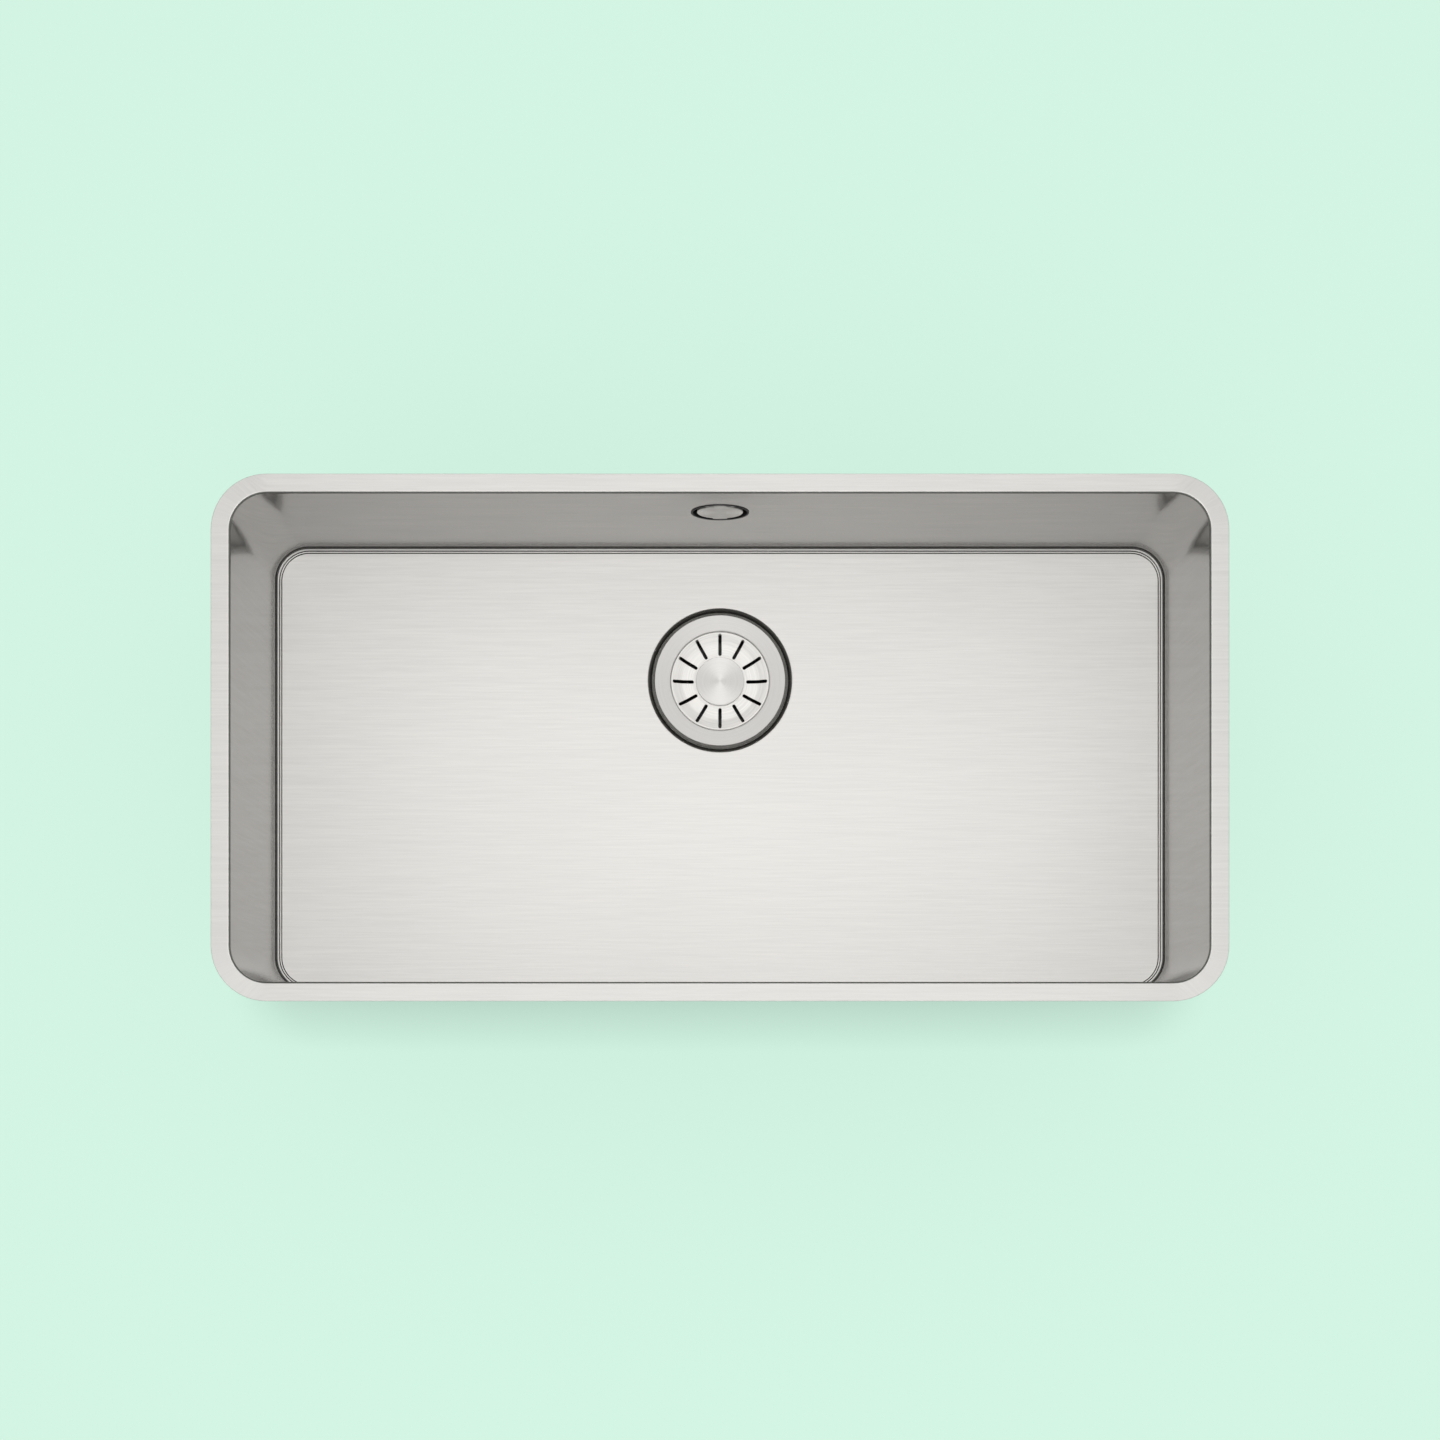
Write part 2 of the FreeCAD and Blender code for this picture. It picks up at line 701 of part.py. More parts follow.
def make_overflow_hose():
    """The ribbed hose: smooth cuffs and end collars, and a rib every pitch between them."""
    _, _, down_run, along_run = hose_path()
    length = down_run + hose_bend_radius * math.pi / 2 + along_run
    ribbed = length - 2 * (hose_cuff + hose_collar_thickness)
    ribs = max(int(ribbed / hose_rib_pitch), 1)
    pitch = ribbed / ribs
    stations = [(0.0, hose_collar_radius), (hose_collar_thickness, hose_collar_radius),
                (hose_collar_thickness, hose_root_radius)]
    first = hose_collar_thickness + hose_cuff
    for i in range(ribs):
        at = first + i * pitch
        stations += [(at, hose_root_radius), (at + 0.3 * pitch, hose_crest_radius),
                     (at + 0.6 * pitch, hose_crest_radius), (at + 0.9 * pitch, hose_root_radius)]
    stations.append((length - hose_collar_thickness - hose_cuff, hose_root_radius))
    ribs_part = Part.makeLoft([hose_circle(s, r) for s, r in stations[3:]], True, True)
    cuffs = []
    for low, high, radius in ((0.0, hose_collar_thickness, hose_collar_radius),
                              (0.0, first, hose_root_radius),
                              (length - first, length, hose_root_radius),
                              (length - hose_collar_thickness, length, hose_collar_radius)):
        centre, along = hose_station(low)
        cuffs.append(Part.makeCylinder(radius, high - low, centre, along))
    hose = ribs_part.fuse(cuffs)
    bore_line = [hose_station(0.0), hose_station(down_run), hose_station(length - along_run),
                 hose_station(length)]
    upper = Part.makeCylinder(hose_bore_radius, down_run + 1, bore_line[0][0] + V(0, 0, 1),
                              V(0, 0, -1))
    lower = Part.makeCylinder(hose_bore_radius, along_run + 1, bore_line[2][0], V(0, -1, 0))
    elbow_face = Part.Face(Part.Wire(Part.Circle(bore_line[1][0], V(0, 0, -1),
                                                 hose_bore_radius).toShape()))
    elbow = elbow_face.revolve(V(0, hose_y - hose_bend_radius, port_z + hose_bend_radius),
                               V(-1, 0, 0), 90)
    return hose.cut(upper).cut(elbow).cut(lower)


def hose_washer(station, backwards):
    """The flat washer between a spigot and the hose's collar."""
    tube = Part.makeCylinder(hose_collar_radius - 0.4, hose_washer_thickness, station, backwards)
    return tube.cut(Part.makeCylinder(hose_bore_radius, hose_washer_thickness, station, backwards))


def union_nut():
    """A union nut about the Z axis: its closed end is at z = 0 and its mouth is above."""
    inner = spigot_thread_radius + thread_gap * 2
    outer = inner + union_wall
    body = disc(outer, 0, union_length)
    ribs = [disc(union_rib_radius, 0, union_length,
                 outer * math.cos(math.radians(360.0 / union_rib_count * i)),
                 outer * math.sin(math.radians(360.0 / union_rib_count * i)))
            for i in range(union_rib_count)]
    body = body.fuse(ribs)
    body = body.cut(disc(inner, union_lip, union_length + 1))
    return body.cut(disc(hose_root_radius + 0.4, -1, union_lip + 1)).removeSplitter()


def make_upper_hose_washer():
    return hose_washer(V(0, hose_y, upper_spigot_end_z), V(0, 0, -1))


def make_lower_hose_washer():
    return hose_washer(V(0, lower_spigot_end_y, port_z), V(0, 1, 0))


def make_upper_union_nut():
    nut = union_nut()
    collar_end = upper_spigot_end_z - hose_washer_thickness - hose_collar_thickness
    nut.translate(V(0, hose_y, collar_end - union_lip))
    return nut


def make_lower_union_nut():
    nut = union_nut()
    nut.rotate(V(0, 0, 0), V(1, 0, 0), 90)
    collar_end = lower_spigot_end_y + hose_washer_thickness + hose_collar_thickness
    nut.translate(V(0, collar_end + union_lip, port_z))
    return nut


# ---------------------------------------------------------------- clips under the flange
def clip_places():
    """Each clip's name, pivot and outward angle in degrees."""
    y = bowl_width / 2 + clip_from_wall
    x = bowl_length / 2 + clip_from_wall
    places = [(f"front_{i + 1}", at, -y, -90.0) for i, at in enumerate(clip_long_side_x)]
    places += [(f"back_{i + 1}", at, y, 90.0) for i, at in enumerate(clip_long_side_x)]
    left = "left" if len(clip_end_y) == 1 else "left_{}"
    right = left.replace("left", "right")
    places += [(left.format(i + 1), -x, at, 180.0) for i, at in enumerate(clip_end_y)]
    places += [(right.format(i + 1), x, at, 0.0) for i, at in enumerate(clip_end_y)]
    return places


arm_top_z = -sheet - arm_gap
arm_low_z = arm_top_z - arm_thickness


def make_clip_arm(x, y, outward):
    """A slotted steel arm, swung in along the wall; it turns outwards through a quarter turn."""
    arm = stadium(arm_reach, arm_width, arm_low_z, arm_top_z).removeSplitter()
    arm = arm.cut(disc(stud_radius + arm_bore_gap, arm_low_z - 1, arm_top_z + 1))
    slot = stadium(arm_slot_length - arm_slot_width, arm_slot_width, arm_low_z - 1, arm_top_z + 1)
    slot.translate(V(arm_reach - arm_slot_length + arm_slot_width, 0, 0))
    arm = arm.cut(slot)
    arm.rotate(V(0, 0, 0), UP, outward - 90)
    arm.translate(V(x, y, 0))
    return arm


def make_clip_studs():
    """The threaded studs welded under the flange."""
    return Part.makeCompound([disc(stud_radius, -sheet - stud_length, -sheet, x, y)
                              for _, x, y, _ in clip_places()])


def make_clip_nuts():
    high = arm_low_z - arm_gap
    low = high - clip_nut_height
    nuts = []
    for _, x, y, _ in clip_places():
        nut = hexagon(clip_nut_across_flats, low, high, x, y)
        nuts.append(nut.cut(disc(stud_radius + thread_gap, low - 1, high + 1, x, y)))
    return Part.makeCompound(nuts)


# ---------------------------------------------------------------- sound-deadening pads
def floor_pad(x0, x1, y0, y1):
    pad = rounded_plate(x1 - x0, y1 - y0, pad_corner_radius, floor_under_z - pad_thickness,
                        floor_under_z)
    pad.translate(V((x0 + x1) / 2, (y0 + y1) / 2, 0))
    return pad


def wall_pad(half_width, side_angle, distance, shift=0.0):
    """A pad on an outer wall, drawn lying down and stood up against it."""
    height = bowl_depth - wall_pad_top - wall_pad_bottom
    pad = rounded_plate(2 * half_width, height, pad_corner_radius, 0, pad_thickness)
    pad.rotate(V(0, 0, 0), V(1, 0, 0), 90)
    pad.translate(V(shift, -distance, -wall_pad_top - height / 2))
    pad.rotate(V(0, 0, 0), UP, side_angle)
    return pad


def make_pads():
    """Every pad by its node's name."""
    end = bowl_length / 2 - pad_edge_margin
    side = bowl_width / 2 - pad_edge_margin
    clear = recess_radius + pad_waste_clearance
    long_half = bowl_length / 2 - wall_pad_inset
    short_half = bowl_width / 2 - wall_pad_inset
    back_half = (long_half - back_pad_from_overflow) / 2
    back_shift = (long_half + back_pad_from_overflow) / 2
    return {
        "floor_pad_left": floor_pad(-end, -clear, -side, side),
        "floor_pad_right": floor_pad(clear, end, -side, side),
        "floor_pad_front": floor_pad(-clear + pad_edge_margin, clear - pad_edge_margin, -side,
                                     waste_y - clear),
        "wall_pad_front": wall_pad(long_half, 0, outer_wall_y),
        "wall_pad_left": wall_pad(short_half, -90, outer_wall_x),
        "wall_pad_right": wall_pad(short_half, 90, outer_wall_x),
        "wall_pad_back_left": wall_pad(back_half, 180, outer_wall_y, back_shift),
        "wall_pad_back_right": wall_pad(back_half, 180, outer_wall_y, -back_shift),
    }


# ---------------------------------------------------------------- build every node
def build():
    nodes = {
        "sink_bowl": make_sink_bowl(),
        "waste_cup": make_waste_cup(),
        "flange_seal": make_flange_seal(),
        "body_seal": make_body_seal(),
        "waste_body": make_waste_body(),
        "clamp_insert": make_clamp_insert(),
        "clamp_screw": make_clamp_screw(),
        "strainer_basket": make_strainer_basket(),
        "stem_bush": make_stem_bush(),
        "strainer_knob": make_strainer_knob(),
        "strainer_stem": make_strainer_stem(),
        "stem_collar": make_stem_collar(),
        "plug_seal": make_plug_seal(),
        "plug_washer": make_plug_washer(),
        "plug_nut": make_plug_nut(),
        "overflow_bezel": make_overflow_bezel(),
        "overflow_cap": make_overflow_cap(),
        "overflow_screw": make_overflow_screw(),
        "overflow_seal": make_overflow_seal(),
        "overflow_housing": make_overflow_housing(),
        "overflow_hose": make_overflow_hose(),
        "upper_hose_washer": make_upper_hose_washer(),
        "lower_hose_washer": make_lower_hose_washer(),
        "upper_union_nut": make_upper_union_nut(),
        "lower_union_nut": make_lower_union_nut(),
        "clip_studs": make_clip_studs(),
        "clip_nuts": make_clip_nuts(),
    }
    for name, x, y, outward in clip_places():
        nodes[f"clip_arm_{name}"] = make_clip_arm(x, y, outward)
    nodes.update(make_pads())
    return nodes


def main():
    os.makedirs("parts", exist_ok=True)
    for name, shape in build().items():
        shape.exportStep(f"parts/{name}.step")
        box = shape.BoundBox
        print(f"{name:22s} solids {len(shape.Solids):2d} valid {shape.isValid()} "
              f"volume {shape.Volume:12.1f} x {box.XMin:.1f}..{box.XMax:.1f} "
              f"y {box.YMin:.1f}..{box.YMax:.1f} z {box.ZMin:.1f}..{box.ZMax:.1f}")


main()
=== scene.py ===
# An undermount kitchen sink seen from above: a brushed steel bowl with a narrow flange, a basket
# waste behind the middle of its floor, a round overflow in its back wall, and under the flange the
# clips, the hose and the pads. Metres; X along the sink, +Y to its back wall, +Z up.
import bmesh
import bpy
import math
import numpy as np
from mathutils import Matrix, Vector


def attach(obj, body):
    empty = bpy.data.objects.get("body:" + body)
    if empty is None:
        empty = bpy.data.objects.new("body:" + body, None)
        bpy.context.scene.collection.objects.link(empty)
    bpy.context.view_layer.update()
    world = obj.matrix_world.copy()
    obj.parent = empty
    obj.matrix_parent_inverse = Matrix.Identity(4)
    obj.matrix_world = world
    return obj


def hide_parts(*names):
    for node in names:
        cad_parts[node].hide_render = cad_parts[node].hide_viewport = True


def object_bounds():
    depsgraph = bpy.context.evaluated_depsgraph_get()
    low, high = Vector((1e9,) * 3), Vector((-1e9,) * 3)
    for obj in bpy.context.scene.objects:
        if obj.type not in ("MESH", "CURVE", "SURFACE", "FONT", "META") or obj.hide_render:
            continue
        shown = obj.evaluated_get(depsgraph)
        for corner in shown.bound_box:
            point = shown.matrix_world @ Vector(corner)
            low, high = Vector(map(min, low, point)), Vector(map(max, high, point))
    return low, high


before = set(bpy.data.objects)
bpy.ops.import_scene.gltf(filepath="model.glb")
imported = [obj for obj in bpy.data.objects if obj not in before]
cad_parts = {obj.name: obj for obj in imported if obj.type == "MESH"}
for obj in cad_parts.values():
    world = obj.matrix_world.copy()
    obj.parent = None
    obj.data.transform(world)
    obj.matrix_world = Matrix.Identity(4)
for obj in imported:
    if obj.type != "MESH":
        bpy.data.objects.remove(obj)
cad_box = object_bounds()


# ---------------------------------------------------------------- camera, floor and light
# A camera straight above the sink's front edge with a shifted lens, as in the photograph, and a
# plain pale green floor under the waste. One lamp stands straight overhead, under a pale sky that
# brightens upwards, and a weak one in front fills the shadows.
scene = bpy.context.scene
scene.view_settings.view_transform = "Standard"
camera_data = bpy.data.cameras.new("camera")
camera_data.lens = 53.9
camera_data.sensor_width = 36.0
camera_data.shift_y = 0.245
camera_data.clip_start = 0.02
camera_data.clip_end = 60.0
camera = bpy.data.objects.new("camera", camera_data)
camera.location = (0.0, -0.2588, 1.6635)
scene.collection.objects.link(camera)
scene.camera = camera
backdrop_green = (0.638, 0.888, 0.753, 1.0)


def mesh_object(name, points, faces, smooth=True):
    """A mesh object from an array of points and a list or array of faces."""
    mesh = bpy.data.meshes.new(name)
    mesh.from_pydata(np.asarray(points, float).reshape(-1, 3).tolist(), [],
                     [tuple(int(i) for i in face) for face in faces])
    mesh.polygons.foreach_set("use_smooth", [smooth] * len(mesh.polygons))
    mesh.update()
    made = bpy.data.objects.new(name, mesh)
    scene.collection.objects.link(made)
    return made


def node_material(name):
    """A new material with its Principled shader: (material, nodes, links, shader)."""
    made = bpy.data.materials.new(name)
    made.use_nodes = True
    nodes, links = made.node_tree.nodes, made.node_tree.links
    return made, nodes, links, nodes["Principled BSDF"]


def reckon(nodes, links, operation, *values):
    """A Math node of one operation on numbers or sockets: its result."""
    node = nodes.new("ShaderNodeMath")
    node.operation = operation
    for socket, value in zip(node.inputs, values):
        if isinstance(value, (int, float)):
            socket.default_value = value
        else:
            links.new(value, socket)
    return node.outputs[0]


def reckon_vector(nodes, links, operation, value, other=None):
    """A Vector Math node of one operation on a socket and, if it needs one, a fixed vector."""
    node = nodes.new("ShaderNodeVectorMath")
    node.operation = operation
    links.new(value, node.inputs[0])
    if other is not None:
        node.inputs[1].default_value = other
    return node


def split_up(nodes, links, value):
    """The X, Y and Z outputs of a vector."""
    node = nodes.new("ShaderNodeSeparateXYZ")
    links.new(value, node.inputs[0])
    return node.outputs


def own_place(nodes):
    """The object coordinates of a point of the surface."""
    return nodes.new("ShaderNodeTexCoord").outputs["Object"]


def smooth_between(nodes, links, value, low, high, to_low=0.0, to_high=1.0):
    """A value carried smoothly from low..high to to_low..to_high, held at both ends."""
    node = nodes.new("ShaderNodeMapRange")
    node.interpolation_type = "SMOOTHSTEP"
    for name, number in (("From Min", low), ("From Max", high), ("To Min", to_low),
                         ("To Max", to_high)):
        node.inputs[name].default_value = number
    links.new(value, node.inputs["Value"])
    return node.outputs["Result"]


floor_gap = 0.0005
floor_z = float(cad_box[0][2]) - floor_gap
floor_reach = 30.0
floor = mesh_object("floor", [(-floor_reach, -floor_reach, floor_z),
                              (floor_reach, -floor_reach, floor_z),
                              (floor_reach, floor_reach, floor_z),
                              (-floor_reach, floor_reach, floor_z)], [(0, 1, 2, 3)], smooth=False)
floor_paint, nodes, links, shader = node_material("floor_paint")
shader.inputs["Base Color"].default_value = (0.56, 0.78, 0.66, 1.0)
shader.inputs["Roughness"].default_value = 0.9
shader.inputs["Specular IOR Level"].default_value = 0.0
lit = nodes.new("ShaderNodeEmission")
lit.inputs["Color"].default_value = backdrop_green
path = nodes.new("ShaderNodeLightPath")
seen = reckon(nodes, links, "MAXIMUM", path.outputs["Is Camera Ray"],
              path.outputs["Is Glossy Ray"])
seen = reckon(nodes, links, "MAXIMUM", path.outputs["Is Transmission Ray"], seen)
away = reckon_vector(nodes, links, "LENGTH", own_place(nodes)).outputs["Value"]
glow = smooth_between(nodes, links, away, 0.8, 2.2, 0.65, 1.0)
mixed = nodes.new("ShaderNodeMixShader")
links.new(reckon(nodes, links, "MULTIPLY", seen, glow), mixed.inputs[0])
links.new(shader.outputs[0], mixed.inputs[1])
links.new(lit.outputs[0], mixed.inputs[2])
links.new(mixed.outputs[0], nodes["Material Output"].inputs["Surface"])
floor.data.materials.append(floor_paint)

world = bpy.data.worlds.new("studio")
scene.world = world
world.use_nodes = True
nodes, links = world.node_tree.nodes, world.node_tree.links
upward = split_up(nodes, links, nodes.new("ShaderNodeTexCoord").outputs["Generated"])["Z"]
dome = nodes.new("ShaderNodeBackground")
dome.inputs["Color"].default_value = (1.0, 0.995, 0.985, 1.0)
links.new(smooth_between(nodes, links, upward, 0.05, 0.75, 0.22, 0.66), dome.inputs["Strength"])
background = nodes["Background"]
background.inputs["Color"].default_value = backdrop_green
background.inputs["Strength"].default_value = 1.0
path = nodes.new("ShaderNodeLightPath")
low = smooth_between(nodes, links, upward, 0.16, 0.06)
mirrored = reckon(nodes, links, "MULTIPLY", path.outputs["Is Glossy Ray"], low)
shown = reckon(nodes, links, "MAXIMUM", path.outputs["Is Camera Ray"], mirrored)
shown = reckon(nodes, links, "MAXIMUM", path.outputs["Is Transmission Ray"], shown)
mixed = nodes.new("ShaderNodeMixShader")
links.new(shown, mixed.inputs[0])
links.new(dome.outputs[0], mixed.inputs[1])
links.new(background.outputs[0], mixed.inputs[2])
links.new(mixed.outputs[0], nodes["World Output"].inputs["Surface"])


def soft_lamp(name, place, size, power, in_metal):
    """A square area lamp at a place, turned to the origin. Metal shows it only if asked."""
    data = bpy.data.lights.new(name, "AREA")
    data.shape = "SQUARE"
    data.size = size
    data.energy = power
    lamp = bpy.data.objects.new(name, data)
    lamp.location = place
    down = -np.array(place, float)
    down /= np.linalg.norm(down)
    flat = math.atan2(down[1], down[0])
    lamp.rotation_euler = (math.acos(-down[2]), 0.0, flat - math.pi / 2)
    lamp.visible_glossy = in_metal
    scene.collection.objects.link(lamp)


soft_lamp("overhead", (0.0, 0.02, 4.5), 0.8, 146.0, True)
soft_lamp("fill_front", (0.0, -2.4, 2.6), 2.4, 8.0, False)


# ---------------------------------------------------------------- the bowl
# One sheet of 1.2 mm stainless steel, pressed to a box with tight corners. Its flange is turned out,
# its floor is set down in two fine ledges, and a drain seat and an overflow hole are pressed and
# punched in it. It is brushed along its length, and the lines go over the bends with the sheet.
sheet = 0.0012
corner_x, corner_y = 0.350, 0.1605
wall_radius, flange_radius = 0.028, 0.043
wall_y = corner_y + wall_radius
bowl_floor_z = -0.175
step_down = 0.0008
seat_z = bowl_floor_z - 0.004
waste_y = 0.076
waste_hole_radius, recess_foot_radius, recess_radius = 0.045, 0.0582, 0.0612
overflow_z = -0.057
overflow_hole_radius = 0.0224
patch_reach, patch_steps = 0.03, 12


def bent_line(corners, radii, steps=5, hold=0.00012):
    """Points along a line with rounded corners. At each corner the arc of its radius is divided
    into steps, and one more point stands at `hold` from each end of the arc, so that flats shade
    flat. Arc points: centre + radius * (cos, sin) between the two tangent points."""
    corners = np.asarray(corners, float)
    out = [corners[0]]
    for before, corner, after, radius in zip(corners[:-2], corners[1:-1], corners[2:], radii):
        a = (before - corner) / np.linalg.norm(before - corner)
        b = (after - corner) / np.linalg.norm(after - corner)
        half = math.acos(np.clip(a @ b, -1, 1)) / 2
        if radius <= 0 or half > math.pi / 2 - 1e-6:
            out += [corner + a * hold, corner, corner + b * hold]
            continue
        reach = radius / math.tan(half)
        middle = corner + (a + b) / np.linalg.norm(a + b) * radius / math.sin(half)
        first, last = corner + a * reach - middle, corner + b * reach - middle
        sweep = math.pi - 2 * half
        side = np.cross(np.append(first, 0), np.append(last, 0))[2]
        turns = np.linspace(0, math.copysign(sweep, side), steps + 1)
        arc = [middle + np.array([first[0] * math.cos(t) - first[1] * math.sin(t),
                                  first[0] * math.sin(t) + first[1] * math.cos(t)]) for t in turns]
        out += [arc[0] + a * hold, *arc, arc[-1] + b * hold]
    out.append(corners[-1])
    return np.array(out)


def far_side(corners, radii, thickness):
    """The corners and radii of the sheet's other face: each corner goes thickness to the left of
    the line, along (left1 + left2) / (1 + left1 . left2), and radii grow or shrink with it."""
    corners = np.asarray(corners, float)
    along = np.diff(corners, axis=0)
    along /= np.linalg.norm(along, axis=1)[:, None]
    left = np.column_stack([-along[:, 1], along[:, 0]])
    moved = corners.copy()
    moved[0] += left[0] * thickness
    moved[-1] += left[-1] * thickness
    share = thickness / (1 + (left[:-1] * left[1:]).sum(1))
    moved[1:-1] += (left[:-1] + left[1:]) * share[:, None]
    bends = along[:-1, 0] * along[1:, 1] - along[:-1, 1] * along[1:, 0]
    return moved, np.maximum(np.asarray(radii) - np.sign(bends) * thickness, 0.0001)


def round_the_box(parts):
    """Stations round a rectangle with turned corners, anticlockwise from the right side: the axis
    point that each belongs to, and the direction outwards from it."""
    right = np.linspace(-corner_y, corner_y, parts["side"] + 1)[:-1]
    back = np.concatenate([np.linspace(corner_x, patch_reach, parts["long"] + 1)[:-1],
                           np.linspace(patch_reach, -patch_reach, patch_steps + 1)[:-1],
                           np.linspace(-patch_reach, -corner_x, parts["long"] + 1)[:-1]])
    quarter = np.linspace(0, math.pi / 2, parts["corner"] + 1)[:-1]
    axes, turns = [], []
    for xs, ys, start in ((corner_x, right, 0), (back, corner_y, 1), (-corner_x, -right, 2),
                          (-back, -corner_y, 3)):
        xs, ys = np.broadcast_arrays(xs, ys)
        axes.append(np.column_stack([xs, ys]))
        turns.append(np.full(len(xs), start * math.pi / 2))
        end = ((corner_x, corner_y), (-corner_x, corner_y), (-corner_x, -corner_y),
               (corner_x, -corner_y))[start]
        axes.append(np.tile([end], (len(quarter), 1)))
        turns.append(quarter + start * math.pi / 2)
    turns = np.concatenate(turns)
    return np.concatenate(axes), np.column_stack([np.cos(turns), np.sin(turns)])


def grid_faces(rows, columns, closed=True):
    """Quads of a grid whose point (i, j) has the number i * columns + j."""
    i, j = np.meshgrid(np.arange(rows - 1), np.arange(columns if closed else columns - 1),
                       indexing="ij")
    k = (j + 1) % columns
    return np.stack([i * columns + j, i * columns + k, (i + 1) * columns + k,
                     (i + 1) * columns + j], axis=-1)


sharp_over = 38.0


def join_grids(name, grids, merge=1e-6):
    """One mesh of several grids. Each grid is (points, map, faces): points n x 3, the flat sheet's
    own coordinates n x 2, and quads. Points that lie on each other become one."""
    points = np.concatenate([g[0].reshape(-1, 3) for g in grids])
    flat = np.concatenate([g[1].reshape(-1, 2) for g in grids])
    starts = np.cumsum([0] + [len(g[0].reshape(-1, 3)) for g in grids[:-1]])
    faces = np.concatenate([g[2].reshape(-1, 4) + s for g, s in zip(grids, starts)])
    key = np.round(points / merge).astype(np.int64)
    _, first, same = np.unique(key, axis=0, return_index=True, return_inverse=True)
    points, flat, faces = points[first], flat[first], same.reshape(-1)[faces]
    made = []
    for face in faces:
        kept = [int(p) for n, p in enumerate(face) if p != face[n - 1]]
        if len(kept) > 2:
            made.append(kept)
    piece = mesh_object(name, points, made)
    shell = bmesh.new()
    shell.from_mesh(piece.data)
    bmesh.ops.recalc_face_normals(shell, faces=shell.faces)
    shell.to_mesh(piece.data)
    shell.free()
    piece.data.set_sharp_from_angle(angle=math.radians(sharp_over))
    layer = piece.data.uv_layers.new(name="sheet")
    corner = np.empty(len(piece.data.loops), np.int64)
    piece.data.loops.foreach_get("vertex_index", corner)
    layer.data.foreach_set("uv", flat[corner].astype(np.float32).ravel())
    return piece


